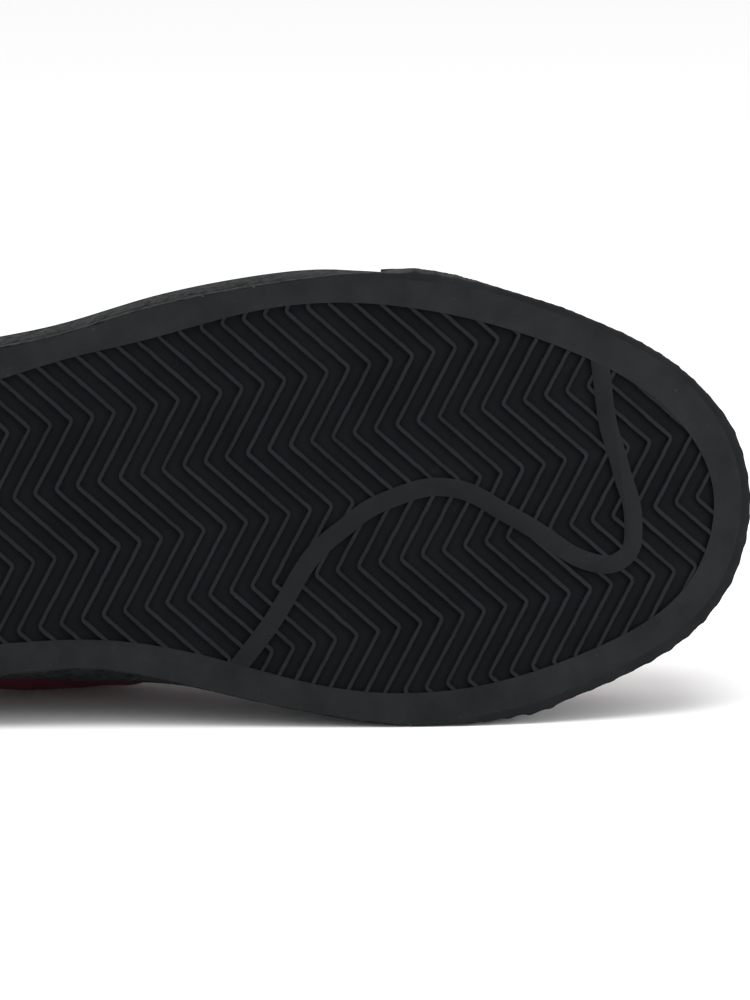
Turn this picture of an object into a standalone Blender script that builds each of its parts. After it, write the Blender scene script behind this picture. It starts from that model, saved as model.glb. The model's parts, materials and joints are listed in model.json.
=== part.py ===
# Right low skateboarding shoe, vulcanised: rubber outsole and foxing round a suede upper.
# Modelled standing in its own frame: X runs from the heel's back to the toe, +Y is the inner side, Z is up.
# An empty then lays it on its inner side, sole towards -Y and toe towards +X.
import math

import bmesh
import bpy
import numpy as np
from mathutils import Matrix, Vector
from mathutils.bvhtree import BVHTree

# Main sizes of the shoe, in metres.
sole_length = 0.2962
ball_width = 0.1094
instep_height = 0.0970
toe_spring = 0.0125
spring_start = 0.690
heel_lift = 0.0012
lift_end = 0.060

# Sole.
foxing_height = 0.0255
foxing_thickness = 0.0030
foxing_lip_height = 0.0052
foxing_step = 0.0006
foxing_edge_round = 0.0009
forefoot_stack = 0.0100
heel_stack = 0.0135
tread_recess = 0.0011
flex_rib_width = 0.0044
bumper_thickness = 0.0015
bumper_height = 0.0225
bumper_edge = 0.0007

# Upper, tongue and insole.
wall = 0.0022
collar_padding = 0.0055
overlay_thickness = 0.0014
eyestay_width = 0.024
edge_row = 0.003
guard_row_count = 2
counter_row_count = 4
padding_reach = 0.034
padding_edge = 0.002
padding_edge_share = 0.35
tongue_thickness = 0.0042
tongue_rise = 0.0012
tongue_wing = 0.0085
tongue_free_length = 0.030
tongue_free_half_width = 0.0245
tongue_neck_half_width = 0.0150
tongue_tilt = math.radians(18)
tongue_low_end = 0.45
tongue_curl = 0.30
tongue_top_share = 0.86
tongue_rim_share = 0.35
tongue_end_share = 0.60
insole_thickness = 0.0040

# Lacing.
eyelet_pairs = 6
eyelet_inset = 0.0115
eyelet_hole_radius = 0.0022
eyelet_wall = 0.0004
eyelet_flange = 0.0014
eyelet_flange_height = 0.0006
eyelet_flange_round = 0.0003
lace_width = 0.0070
lace_thickness = 0.0013
lace_edge_share = 0.85
first_eyelet_step = 1.2
last_eyelet_step = 0.6
eyelet_sides = 10
hole_cut_below = 0.008
hole_cut_above = 0.006

# Fit between pieces.
gap = 0.0003
insole_clearance = 0.0005
tongue_clearance = 0.0009
lace_clearance = 0.0007

# Grid of the faceted solids.
steps_per_section = 3
middle_rows = 3
slice_spacing = 0.012
lace_sections = 13
lace_probe_share = 0.55
probe_height = 0.030

# Densities used to find how the shoe lies at rest, in kg per cubic metre.
sole_density = 850
upper_density = 900
padding_density = 300

half_ball = ball_width / 2
half_instep = instep_height / 2

# Sections from the heel's back to the toe's tip. along is a share of sole_length; across, rim, lean
# and belly are shares of half_ball; the inner side is the big toe's. rim is the smooth border round the
# tread, lean how far the foxing's top stands outwards of its foot, and belly how far the upper swells
# past the sole's edge.
section_columns = (
    "inner_along", "inner_across", "inner_rim", "inner_lean", "inner_belly",
    "outer_along", "outer_across", "outer_rim", "outer_lean", "outer_belly",
)
sections = {
    "heel_back": (0.000, 0.000, 0.128, -0.020, -0.040, 0.000, 0.000, 0.128, -0.020, -0.040),
    "heel_corner": (0.030, 0.400, 0.128, -0.020, -0.052, 0.030, 0.400, 0.128, -0.020, -0.052),
    "heel_side": (0.125, 0.685, 0.130, -0.012, -0.058, 0.125, 0.685, 0.120, -0.010, -0.058),
    "rear_arch": (0.265, 0.655, 0.135, 0.014, 0.066, 0.260, 0.738, 0.128, 0.008, -0.060),
    "arch": (0.405, 0.618, 0.137, 0.056, 0.174, 0.400, 0.813, 0.142, 0.016, -0.066),
    "throat_top": (0.468, 0.630, 0.131, 0.062, 0.174, 0.460, 0.852, 0.111, 0.015, -0.074),
    "front_arch": (0.530, 0.719, 0.147, 0.036, 0.096, 0.520, 0.921, 0.131, 0.017, -0.074),
    "ball": (0.650, 0.922, 0.128, -0.018, -0.070, 0.640, 0.997, 0.106, 0.010, -0.072),
    "ball_front": (0.765, 1.009, 0.153, -0.030, -0.085, 0.735, 0.994, 0.141, -0.004, -0.080),
    "toe_side": (0.873, 0.872, 0.130, -0.034, -0.060, 0.883, 0.708, 0.138, -0.034, -0.068),
    "toe_corner": (0.969, 0.589, 0.127, -0.034, -0.058, 0.962, 0.421, 0.151, -0.034, -0.062),
    "toe_tip": (1.004, 0.064, 0.133, -0.034, -0.056, 1.004, 0.064, 0.133, -0.034, -0.056),
}

# The upper at the same sections. edge_* is the rim of the collar and throat: along and across as above,
# height as a share of instep_height. belly_up, of half the instep's height, is how far the belly lies
# above the foxing. shoulder_in and shoulder_up place the shoulder between belly and edge, and padding is
# the collar's share of collar_padding.
upper_columns = (
    "edge_along", "edge_across", "edge_height", "belly_up_inner", "belly_up_outer",
    "shoulder_in", "shoulder_up", "padding",
)
upper_sections = {
    "heel_back": (0.036, 0.000, 0.870, 0.170, 0.170, 0.30, 0.52, 1.0),
    "heel_corner": (0.060, 0.285, 0.845, 0.170, 0.170, 0.32, 0.52, 1.0),
    "heel_side": (0.130, 0.500, 0.735, 0.165, 0.165, 0.34, 0.50, 1.0),
    "rear_arch": (0.245, 0.560, 0.680, 0.300, 0.160, 0.34, 0.52, 1.0),
    "arch": (0.362, 0.455, 0.845, 0.400, 0.170, 0.30, 0.58, 0.6),
    "throat_top": (0.425, 0.350, 0.990, 0.380, 0.175, 0.31, 0.60, 0.0),
    "front_arch": (0.475, 0.310, 0.955, 0.200, 0.165, 0.32, 0.60, 0.0),
    "ball": (0.560, 0.265, 0.845, 0.110, 0.120, 0.33, 0.58, 0.0),
    "ball_front": (0.622, 0.220, 0.770, 0.070, 0.075, 0.33, 0.56, 0.0),
    "toe_side": (0.664, 0.165, 0.727, 0.035, 0.035, 0.33, 0.53, 0.0),
    "toe_corner": (0.688, 0.095, 0.706, 0.025, 0.025, 0.33, 0.50, 0.0),
    "toe_tip": (0.697, 0.018, 0.700, 0.022, 0.022, 0.33, 0.47, 0.0),
}

# The raised flex rib across the tread: along as a share of sole_length, across of half_ball.
flex_rib_route = (
    (0.570, 0.760), (0.598, 0.565), (0.626, 0.391), (0.657, 0.180), (0.697, 0.035), (0.722, -0.015),
    (0.747, -0.042), (0.768, -0.031), (0.801, 0.070), (0.833, 0.193), (0.863, 0.324), (0.879, 0.365),
    (0.890, 0.375), (0.900, 0.359), (0.908, 0.319), (0.913, 0.176), (0.907, 0.005), (0.899, -0.221),
    (0.897, -0.439), (0.895, -0.600),
)

section_names = list(sections)
corner_section = section_names.index("throat_top")
toe_section = section_names.index("toe_tip")
half_loop = toe_section * steps_per_section
loop_count = 2 * half_loop


def clear_scene():
    for old in list(bpy.data.objects):
        bpy.data.objects.remove(old, do_unlink=True)


def cubic_through(knots, values, places, closed):
    """A smooth cubic curve through values at knots, read at places; a closed one joins its ends."""
    knots, values = np.asarray(knots, float), np.asarray(values, float)
    if not closed:
        order = len(knots)
        spans = np.diff(knots)
        system, right = np.eye(order), np.zeros((order,) + values.shape[1:])
        for k in range(1, order - 1):
            system[k, k - 1:k + 2] = spans[k - 1], 2 * (spans[k - 1] + spans[k]), spans[k]
            rise = (values[k + 1] - values[k]) / spans[k] - (values[k] - values[k - 1]) / spans[k - 1]
            right[k] = 6 * rise
        bend = np.linalg.solve(system, right)
        ends = values
    else:
        order = len(knots) - 1
        spans = np.diff(knots)
        system, right = np.zeros((order, order)), np.zeros((order,) + values.shape[1:])
        for k in range(order):
            before, after = spans[k - 1], spans[k]
            system[k, (k - 1) % order] += before
            system[k, k] += 2 * (before + after)
            system[k, (k + 1) % order] += after
            rise = (values[(k + 1) % order] - values[k]) / after - (values[k] - values[k - 1]) / before
            right[k] = 6 * rise
        bend = np.linalg.solve(system, right)
        bend = np.concatenate([bend, bend[:1]])
        ends = np.concatenate([values, values[:1]])
    read = []
    for place in places:
        k = int(np.clip(np.searchsorted(knots, place, side="right") - 1, 0, len(knots) - 2))
        span = knots[k + 1] - knots[k]
        b = (place - knots[k]) / span
        a = 1 - b
        curve = a * ends[k] + b * ends[k + 1]
        curve = curve + ((a ** 3 - a) * bend[k] + (b ** 3 - b) * bend[k + 1]) * span * span / 6
        read.append(curve)
    return np.array(read)


def underside(along):
    """Height of the sole's underside above the ground: the toe's spring and a little lift at the heel."""
    start, end = spring_start * sole_length, lift_end * sole_length
    toe = np.clip((along - start) / (sole_length - start), 0, None)
    heel = np.clip((end - along) / end, 0, None)
    return toe_spring * toe ** 2 + heel_lift * heel ** 2


def stack_height(along):
    share = np.clip(along / sole_length, 0, 1)
    return heel_stack + (forefoot_stack - heel_stack) * share


def station_table():
    """Every column of both tables at each station, from the heel's back along the inner side and round."""
    rows = []
    places = [(name, 1) for name in section_names] + [(name, -1) for name in section_names[-2:0:-1]]
    for name, side in places:
        sole = dict(zip(section_columns, sections[name]))
        top = dict(zip(upper_columns, upper_sections[name]))
        which = "inner" if side > 0 else "outer"
        rows.append((
            sole[which + "_along"] * sole_length,
            sole[which + "_across"] * half_ball * (1 if name == "toe_tip" else side),
            sole[which + "_rim"] * half_ball,
            sole[which + "_lean"] * half_ball,
            sole[which + "_belly"] * half_ball,
            top["belly_up_" + which] * half_instep,
            top["edge_along"] * sole_length,
            top["edge_across"] * half_ball * (1 if name == "toe_tip" else side),
            top["edge_height"] * instep_height,
            top["shoulder_in"],
            top["shoulder_up"],
            top["padding"] * collar_padding,
        ))
    rows = np.array(rows)
    steps = np.linalg.norm(np.diff(rows[:, :2], axis=0, append=rows[:1, :2]), axis=1)
    knots = np.concatenate([[0], np.cumsum(steps)])
    places = []
    for k in range(len(rows)):
        for step in range(steps_per_section):
            places.append(knots[k] + (knots[k + 1] - knots[k]) * step / steps_per_section)
    table = cubic_through(knots, rows, places, closed=True)
    names = ("along", "across", "rim", "lean", "belly", "belly_up", "edge_along", "edge_across",
             "edge_height", "shoulder_in", "shoulder_up", "padding")
    return {name: table[:, k] for k, name in enumerate(names)}


def outward(points):
    """Unit normals in plan of a loop that runs from heel to toe along the inner side."""
    way = np.roll(points, -1, axis=0) - np.roll(points, 1, axis=0)
    normal = np.stack([-way[:, 1], way[:, 0]], axis=1)
    return normal / np.linalg.norm(normal, axis=1)[:, None]


def sole_loop(offset, height):
    """Plan points of the foxing's outer face, moved out by offset, at a share of the foxing's height."""
    edge = np.stack([station["along"], station["across"]], axis=1)
    return edge + outward(edge) * (offset + station["lean"] * height)[:, None]


def padding_at(place):
    """The collar's extra thickness at a fractional station."""
    values = station["padding"].clip(0, None)
    low = int(math.floor(place))
    return values[low % loop_count] * (1 - place + low) + values[(low + 1) % loop_count] * (place - low)


def resampled(line, distances):
    """Points on a polyline at the given distances from its start."""
    length = np.concatenate([[0], np.cumsum(np.linalg.norm(np.diff(line, axis=0), axis=1))])
    return np.stack([np.interp(distances, length, line[:, k]) for k in range(3)], axis=1), length[-1]


def wall_profile(index):
    """The upper's outer face at one station: a fine polyline from its foot in the foxing to its edge."""
    inside = -foxing_thickness - gap
    along = station["along"][index]
    foot_height = stack_height(along) + gap
    feather = sole_loop(inside, foot_height / foxing_height)[index]
    foxing_top = underside(along) + foxing_height
    clear = sole_loop(inside, 1.0)[index]
    belly = sole_loop(station["belly"][index], 0.0)[index]
    edge = np.array([station["edge_along"][index], station["edge_across"][index]])
    edge_height = station["edge_height"][index]
    belly_height = foxing_top + station["belly_up"][index] + 2 * gap
    shoulder = belly + (edge - belly) * station["shoulder_in"][index]
    shoulder_height = belly_height + (edge_height - belly_height) * station["shoulder_up"][index]
    low = np.array([[*feather, underside(along) + foot_height], [*clear, foxing_top + gap]])
    high = np.array([
        [*clear, foxing_top + gap],
        [*belly, belly_height],
        [*shoulder, shoulder_height],
        [*edge, edge_height],
    ])
    knots = np.concatenate([[0], np.cumsum(np.linalg.norm(np.diff(high, axis=0), axis=1))])
    curve = cubic_through(knots, high, np.linspace(0, knots[-1], 40), closed=False)
    return np.concatenate([low[:1], curve])


def wall_rows():
    """The upper's outer face as a grid of stations by rows, and the rows' distances from the edge."""
    grid, from_edge = [], []
    for index in range(loop_count):
        line = wall_profile(index)
        total = resampled(line, [0])[1]
        sunk = np.linalg.norm(line[1] - line[0])
        low = [0, sunk]
        high = [total - eyestay_width, total - eyestay_width / 2, total - edge_row, total]
        middle = np.linspace(low[-1], high[0], middle_rows + 2)[1:-1]
        distances = np.array([*low, *middle, *high])
        grid.append(resampled(line, distances)[0])
        from_edge.append(total - distances)
    return np.array(grid), np.array(from_edge)


def surface_normals(grid, closed=True):
    """Unit normals of a grid of points, pointing out of the shoe."""
    if closed:
        around = np.roll(grid, -1, axis=0) - np.roll(grid, 1, axis=0)
    else:
        around = np.gradient(grid, axis=0)
    up = np.gradient(grid, axis=1)
    normal = np.cross(up, around)
    return normal / np.maximum(np.linalg.norm(normal, axis=2), 1e-12)[:, :, None]


def material(name, colour, roughness):
    made = bpy.data.materials.get(name)
    if made is None:
        made = bpy.data.materials.new(name)
        made.use_nodes = True
        shader = made.node_tree.nodes["Principled BSDF"]
        shader.inputs["Base Color"].default_value = (*colour, 1)
        shader.inputs["Roughness"].default_value = roughness
        shader.inputs["Metallic"].default_value = 0.0
    return made


def rubber():
    return material("black_rubber", (0.020, 0.021, 0.022), 0.62)


def suede():
    return material("dark_red_suede", (0.095, 0.012, 0.020), 0.90)


def textile():
    return material("black_textile", (0.013, 0.013, 0.014), 0.85)


def enamel():
    return material("black_enamel", (0.012, 0.012, 0.013), 0.40)


def add_object(name, points, faces, finish, density):
    """A named piece of the standing shoe, with its faces turned outwards and carried by the lying empty."""
    mesh = bpy.data.meshes.new(name)
    mesh.from_pydata([tuple(p) for p in points], [], faces)
    mesh.validate()
    shape = bmesh.new()
    shape.from_mesh(mesh)
    bmesh.ops.remove_doubles(shape, verts=shape.verts, dist=1e-6)
    bmesh.ops.recalc_face_normals(shape, faces=shape.faces)
    shape.to_mesh(mesh)
    shape.free()
    made = bpy.data.objects.new(name, mesh)
    bpy.context.scene.collection.objects.link(made)
    made.data.materials.append(finish)
    made["density"] = density
    made.parent = lying
    return made


def closed_shell(outer, inner):
    """Points and faces of a wall between two grids that run right round the shoe."""
    around, rows = outer.shape[:2]
    points = np.concatenate([outer.reshape(-1, 3), inner.reshape(-1, 3)])
    faces = []
    for i in range(around):
        j = (i + 1) % around
        for r in range(rows - 1):
            a, b, c, d = i * rows + r, j * rows + r, j * rows + r + 1, i * rows + r + 1
            for corners in ((a, b, c), (a, c, d)):
                faces.append(corners)
                faces.append(tuple(v + around * rows for v in corners[::-1]))
        for r in (0, rows - 1):
            faces.append((i * rows + r, j * rows + r, (around + j) * rows + r, (around + i) * rows + r))
    return points, faces


def open_shell(outer, inner):
    """Points and faces of a wall between two open patches of the same grid."""
    across, rows = outer.shape[:2]
    half = across * rows
    points = np.concatenate([outer.reshape(-1, 3), inner.reshape(-1, 3)])
    faces = []
    for i in range(across - 1):
        for r in range(rows - 1):
            a, b, c, d = i * rows + r, (i + 1) * rows + r, (i + 1) * rows + r + 1, i * rows + r + 1
            for corners in ((a, b, c), (a, c, d)):
                faces.append(corners)
                faces.append(tuple(v + half for v in corners[::-1]))
        for r in (0, rows - 1):
            a, b = i * rows + r, (i + 1) * rows + r
            faces.append((a, b, b + half, a + half))
    for i in (0, across - 1):
        for r in range(rows - 1):
            a, b = i * rows + r, i * rows + r + 1
            faces.append((a, b, b + half, a + half))
    return points, faces


def swept(rings, closed):
    """Points and faces of a solid whose rings of equal count follow one another."""
    count = rings.shape[1]
    points = rings.reshape(-1, 3)
    faces = []
    for i in range(len(rings) if closed else len(rings) - 1):
        j = (i + 1) % len(rings)
        for k in range(count):
            m = (k + 1) % count
            faces.append((i * count + k, j * count + k, j * count + m, i * count + m))
    if not closed:
        faces.append(tuple(range(count)))
        faces.append(tuple((len(rings) - 1) * count + k for k in range(count)))
    return points, faces


def strip_caps(loop_size, lower, upper):
    """Faces across a loop, station by station from heel to toe, so that both ends of each lie level."""
    faces = []
    half = loop_size // 2
    for i in range(half):
        a, b = i, i + 1
        c, d = (loop_size - i - 1) % loop_size, (loop_size - i) % loop_size
        for start in (lower, upper):
            corners = []
            for v in (a, b, c, d):
                if start + v not in corners:
                    corners.append(start + v)
            faces.append(tuple(corners))
    return faces


def flat_prism(name, outline, low, high, top_outline=None):
    """A prism over a plan outline, upright or leaning to a second outline, as a loose object."""
    count = len(outline)
    top_outline = outline if top_outline is None else top_outline
    points = [(*p, low) for p in outline] + [(*p, high) for p in top_outline]
    faces = [tuple(range(count)), tuple(range(count, 2 * count))]
    faces += [(k, (k + 1) % count, (k + 1) % count + count, k + count) for k in range(count)]
    mesh = bpy.data.meshes.new(name)
    mesh.from_pydata(points, [], faces)
    shape = bmesh.new()
    shape.from_mesh(mesh)
    bmesh.ops.recalc_face_normals(shape, faces=shape.faces)
    shape.to_mesh(mesh)
    shape.free()
    made = bpy.data.objects.new(name, mesh)
    bpy.context.scene.collection.objects.link(made)
    return made


def cut_by(target, cutter):
    modifier = target.modifiers.new("cut_" + cutter.name, "BOOLEAN")
    modifier.operation = "DIFFERENCE"
    modifier.solver = "EXACT"
    modifier.object = cutter


def applied(target):
    """The object's mesh with its modifiers applied."""
    bpy.context.view_layer.update()
    graph = bpy.context.evaluated_depsgraph_get()
    return bpy.data.meshes.new_from_object(target.evaluated_get(graph))


def flex_rib_outline():
    """Plan outline of the flex rib: its smooth centre line, half a rib's width to each side."""
    route = np.array([(a * sole_length, b * half_ball) for a, b in flex_rib_route])
    knots = np.concatenate([[0], np.cumsum(np.linalg.norm(np.diff(route, axis=0), axis=1))])
    line = cubic_through(knots, route, np.linspace(0, knots[-1], 30), closed=False)
    way = np.gradient(line, axis=0)
    side = np.stack([-way[:, 1], way[:, 0]], axis=1) / np.linalg.norm(way, axis=1)[:, None]
    return np.concatenate([line + side * flex_rib_width / 2, (line - side * flex_rib_width / 2)[::-1]])


def make_outsole():
    """Tread plate inside the foxing: its field is sunk round the flex rib, and its toe springs up."""
    thickness = max(forefoot_stack, heel_stack)
    inset = -foxing_thickness - gap
    lean_share = stack_height(station["along"]) / foxing_height
    plate = flat_prism("plate", sole_loop(inset, 0.0), 0, thickness, sole_loop(inset, lean_share))
    field = flat_prism("field", sole_loop(0, 0.0) - outward(sole_loop(0, 0.0)) * station["rim"][:, None],
                       -tread_recess, tread_recess)
    rib = flat_prism("rib", flex_rib_outline(), -2 * tread_recess, 2 * tread_recess)
    cut_by(field, rib)
    cut_by(plate, field)
    mesh = applied(plate)
    for helper in (plate, field, rib):
        bpy.data.objects.remove(helper, do_unlink=True)
    shape = bmesh.new()
    shape.from_mesh(mesh)
    slices = np.arange(spring_start * sole_length, sole_length, slice_spacing)
    for place in [lift_end * sole_length / 2, lift_end * sole_length, *slices]:
        everything = list(shape.verts) + list(shape.edges) + list(shape.faces)
        plane = {"plane_co": (place, 0, 0), "plane_no": (1, 0, 0)}
        bmesh.ops.bisect_plane(shape, geom=everything, dist=1e-6, **plane)
    for vert in shape.verts:
        if vert.co.z > thickness / 2:
            vert.co.z = stack_height(vert.co.x)
        vert.co.z += underside(vert.co.x)
    bmesh.ops.triangulate(shape, faces=shape.faces)
    shape.to_mesh(mesh)
    shape.free()
    points = [tuple(v.co) for v in mesh.vertices]
    faces = [tuple(p.vertices) for p in mesh.polygons]
    return add_object("outsole", points, faces, rubber(), sole_density)


def foxing_profile():
    """Offsets and heights of the foxing's section, up its outer face and down its inner one."""
    lip, step, edge = foxing_lip_height, foxing_step, foxing_edge_round
    return (
        (-edge, 0.0), (0.0, edge), (0.0, lip), (-step, lip + step),
        (-step, foxing_height - edge), (-step - edge, foxing_height),
        (-foxing_thickness, foxing_height), (-foxing_thickness, 0.0),
    )


def make_foxing():
    """Rubber tape right round the sole, with its lip at the ground and the step above it."""
    rings = []
    lift = underside(station["along"])
    for offset, height in foxing_profile():
        plan = sole_loop(offset, height / foxing_height)
        rings.append(np.column_stack([plan, lift + height]))
    rings = np.array(rings).transpose(1, 0, 2)
    return add_object("foxing", *swept(rings, closed=True), rubber(), sole_density)


def bumper_span():
    """The stations that the toe bumper covers."""
    first = section_names.index("toe_side") * steps_per_section - 1
    last = loop_count - section_names.index("ball_front") * steps_per_section
    return np.arange(first, last + 1)


def make_bumper():
    """Second strip of rubber round the toe, outside the foxing."""
    span = bumper_span()
    lift = underside(station["along"])[span]
    low, out, edge = 0.0, bumper_thickness, bumper_edge
    profile = (
        (gap, low), (out - edge, low), (out, low + edge), (out, bumper_height - edge),
        (out - edge, bumper_height), (gap, bumper_height),
    )
    rings = []
    for offset, height in profile:
        plan = sole_loop(offset, height / foxing_height)[span]
        rings.append(np.column_stack([plan, lift + height]))
    rings = np.array(rings).transpose(1, 0, 2)
    return add_object("toe_bumper", *swept(rings, closed=False), rubber(), sole_density)


def make_upper():
    """The suede upper: one hollow wall, open underneath, at collar and throat, and padded at the collar."""
    depth = np.full(grid.shape[:2], wall)
    swell = np.sqrt(np.clip(1 - distance / padding_reach, 0, 1))
    swell = np.where(distance < padding_edge, padding_edge_share, swell)
    depth = depth + station["padding"][:, None].clip(0, None) * swell
    inner = grid - normals * depth[:, :, None]
    made = add_object("upper", *closed_shell(grid, inner), suede(), upper_density)
    cut_by(made, eyelet_cutter)
    return made


def overlay(name, stations, rows, finish):
    """A panel that lies on the upper over some stations and rows of its grid."""
    face = grid[np.ix_(stations, rows)]
    normal = normals[np.ix_(stations, rows)]
    outer, inner = face + normal * (gap + overlay_thickness), face + normal * gap
    return add_object(name, *open_shell(outer, inner), finish, upper_density)


def make_eyestay():
    """The U-shaped panel round the throat that carries the eyelets."""
    first = corner_section * steps_per_section
    stations = np.arange(first, loop_count - first + 1)
    rows = np.arange(grid.shape[1] - 4, grid.shape[1])
    made = overlay("eyestay", stations, rows, suede())
    cut_by(made, eyelet_cutter)
    return made


def make_guard_and_counter():
    """Suede overlays low round the toe and the heel, standing on the foxing's top edge."""
    toe = toe_section * steps_per_section
    reach = 2 * steps_per_section + 1
    around_toe = np.arange(toe - reach, toe + reach + 1)
    around_heel = np.arange(-reach, reach + 1) % loop_count
    guard = overlay("toe_guard", around_toe, np.arange(1, guard_row_count + 1), suede())
    counter = overlay("heel_counter", around_heel, np.arange(1, counter_row_count + 1), suede())
    return [guard, counter]


def edge_point(place, from_edge):
    """A point of the upper's outer face and its normal, at a station and a distance from the edge."""
    low = int(math.floor(place))
    share = place - low
    point, normal = np.zeros(3), np.zeros(3)
    for index, weight in ((low, 1 - share), (low + 1, share)):
        index %= loop_count
        along = distance[index][::-1]
        faces, ways = grid[index][::-1], normals[index][::-1]
        point += weight * np.array([np.interp(from_edge, along, faces[:, k]) for k in range(3)])
        normal += weight * np.array([np.interp(from_edge, along, ways[:, k]) for k in range(3)])
    return point, normal / np.linalg.norm(normal)


def eyelet_places():
    """Stations of the eyelets on the inner side, evenly spaced; the outer side mirrors them."""
    first = corner_section * steps_per_section + first_eyelet_step
    last = (toe_section - 1) * steps_per_section - last_eyelet_step
    places = np.linspace(first, last, 60)
    line = np.array([edge_point(place, 0.0)[0] for place in places])
    length = np.concatenate([[0], np.cumsum(np.linalg.norm(np.diff(line, axis=0), axis=1))])
    return np.interp(np.linspace(0, length[-1], eyelet_pairs), length, places)


def ring_frame(normal):
    side = np.cross(normal, (1.0, 0.0, 0.0))
    side /= np.linalg.norm(side)
    return side, np.cross(normal, side)


def make_eyelet_cutter():
    """One cutter with a short rod through each eyelet hole."""
    sides = eyelet_sides
    points, faces = [], []
    for place in [p for pair in eyelet_places() for p in (pair, loop_count - pair)]:
        centre, normal = edge_point(place, eyelet_inset)
        side, other = ring_frame(normal)
        start = len(points)
        for height in (-hole_cut_below, hole_cut_above):
            for k in range(sides):
                turn = 2 * math.pi * k / sides
                reach = (side * math.cos(turn) + other * math.sin(turn)) * (eyelet_hole_radius + gap)
                points.append(centre + normal * height + reach)
        faces.append(tuple(start + k for k in range(sides)))
        faces.append(tuple(start + sides + k for k in range(sides)))
        for k in range(sides):
            m = (k + 1) % sides
            faces.append((start + k, start + m, start + sides + m, start + sides + k))
    made = add_object("eyelet_cutter", points, faces, enamel(), 0)
    made.hide_render = True
    made.display_type = "WIRE"
    return made


def make_eyelets():
    """Small enamelled rings: a flange on the eyestay and a barrel down through both layers."""
    sides = eyelet_sides
    made = []
    for number, place in enumerate(eyelet_places(), 1):
        for side_name, at in (("inner", place), ("outer", loop_count - place)):
            centre, normal = edge_point(at, eyelet_inset)
            side, other = ring_frame(normal)
            base = 2 * gap + overlay_thickness
            barrel = eyelet_hole_radius
            bore = eyelet_hole_radius - eyelet_wall
            rim, top = barrel + eyelet_flange, base + eyelet_flange_height
            profile = (
                (bore, -wall), (barrel, -wall), (barrel, base), (rim, base),
                (rim - eyelet_flange_round, top), (bore, top),
            )
            rings = []
            for k in range(sides):
                turn = 2 * math.pi * k / sides
                out = side * math.cos(turn) + other * math.sin(turn)
                rings.append([centre + normal * height + out * radius for radius, height in profile])
            name = f"eyelet_{side_name}_{number}"
            made.append(add_object(name, *swept(np.array(rings), closed=True), enamel(), sole_density))
    return made


def tongue_top_section(place):
    """Points across the tongue's top face at one pair of stations, wing to wing, and its way up."""
    wing, edge = [], []
    for at in (place, loop_count - place):
        points = []
        for from_edge in (tongue_wing, tongue_wing / 2, 0.0):
            point, normal = edge_point(at, from_edge)
            points.append(point - normal * (wall + tongue_clearance + padding_at(at)))
        wing.append(points)
        edge.append(edge_point(at, 0.0))
    up = edge[0][1] + edge[1][1]
    up[1] = 0
    up /= np.linalg.norm(up)
    inner, outer = wing
    middle = []
    for share in (0.25, 0.5, 0.75):
        point = inner[-1] * (1 - share) + outer[-1] * share
        swell = math.sin(math.pi * share)
        middle.append(point + up * swell * (wall + tongue_clearance + tongue_rise))
    return np.array([*inner, *middle, *outer[::-1]]), up


def make_tongue():
    """Padded tongue: its wings run under the throat's edges, and its free end stands above them."""
    low_end = (toe_section - tongue_low_end) * steps_per_section
    high_end = corner_section * steps_per_section + first_eyelet_step
    places = np.linspace(low_end, high_end, 11)
    tops, ups = [], []
    for place in places:
        section, up = tongue_top_section(place)
        tops.append(section)
        ups.append(up)
    centre = tops[-1][4]
    way = centre - tops[-3][4]
    way[1] = 0
    way /= np.linalg.norm(way)
    up = ups[-1]
    spread = np.linspace(1, -1, 9)
    for share in (0.16, 0.34, 0.60, 0.85, 1.0):
        turn = tongue_tilt * share
        lean = way * math.cos(turn) + up * math.sin(turn)
        face = up * math.cos(turn) - way * math.sin(turn)
        widening = min(1, max(0, (share - 0.30) / 0.50))
        half = tongue_neck_half_width + (tongue_free_half_width - tongue_neck_half_width) * widening
        if share == 1.0:
            half *= tongue_top_share
        reach = centre + lean * tongue_free_length * share
        drop = (spread ** 2) * half * tongue_curl
        section = reach + np.outer(spread * half, (0, 1, 0)) - np.outer(drop, face)
        tops.append(section)
        ups.append(face)
    tops = np.array(tops)
    thickness = np.full(tops.shape[:2], tongue_thickness)
    thickness[:, [0, -1]] *= tongue_rim_share
    thickness[-1] *= tongue_end_share
    lower = tops - np.array(ups)[:, None, :] * thickness[:, :, None]
    return add_object("tongue", *open_shell(tops, lower), textile(), padding_density)


def make_insole():
    """Footbed inside the upper, on the outsole's top."""
    inset = foxing_thickness + gap + wall + insole_clearance
    along = station["along"]
    base = underside(along) + stack_height(along) + gap
    plan = sole_loop(-inset, heel_stack / foxing_height)
    rings = np.array([np.column_stack([plan, base]), np.column_stack([plan, base + insole_thickness])])
    points = rings.reshape(-1, 3)
    faces = []
    for k in range(loop_count):
        after = (k + 1) % loop_count
        faces.append((k, after, after + loop_count, k + loop_count))
    faces += strip_caps(loop_count, 0, loop_count)
    return add_object("insole", points, faces, textile(), padding_density)


def search_tree(pieces):
    """One tree of the pieces' faces, with their modifiers, to cast rays at."""
    bpy.context.view_layer.update()
    graph = bpy.context.evaluated_depsgraph_get()
    points, faces = [], []
    for piece in pieces:
        mesh = piece.evaluated_get(graph).to_mesh()
        start = len(points)
        points += [v.co.copy() for v in mesh.vertices]
        faces += [tuple(start + v for v in p.vertices) for p in mesh.polygons]
    return BVHTree.FromPolygons(points, faces)


def taut(places, heights):
    """The upper hull of heights over places, read back at the same places, as a tight cord would lie."""
    hull = []
    for point in zip(places, heights):
        while len(hull) > 1:
            (x0, y0), (x1, y1) = hull[-2:]
            if (x1 - x0) * (point[1] - y0) < (y1 - y0) * (point[0] - x0):
                break
            hull.pop()
        hull.append(point)
    hull = np.array(hull)
    return np.interp(places, hull[:, 0], hull[:, 1])


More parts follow.
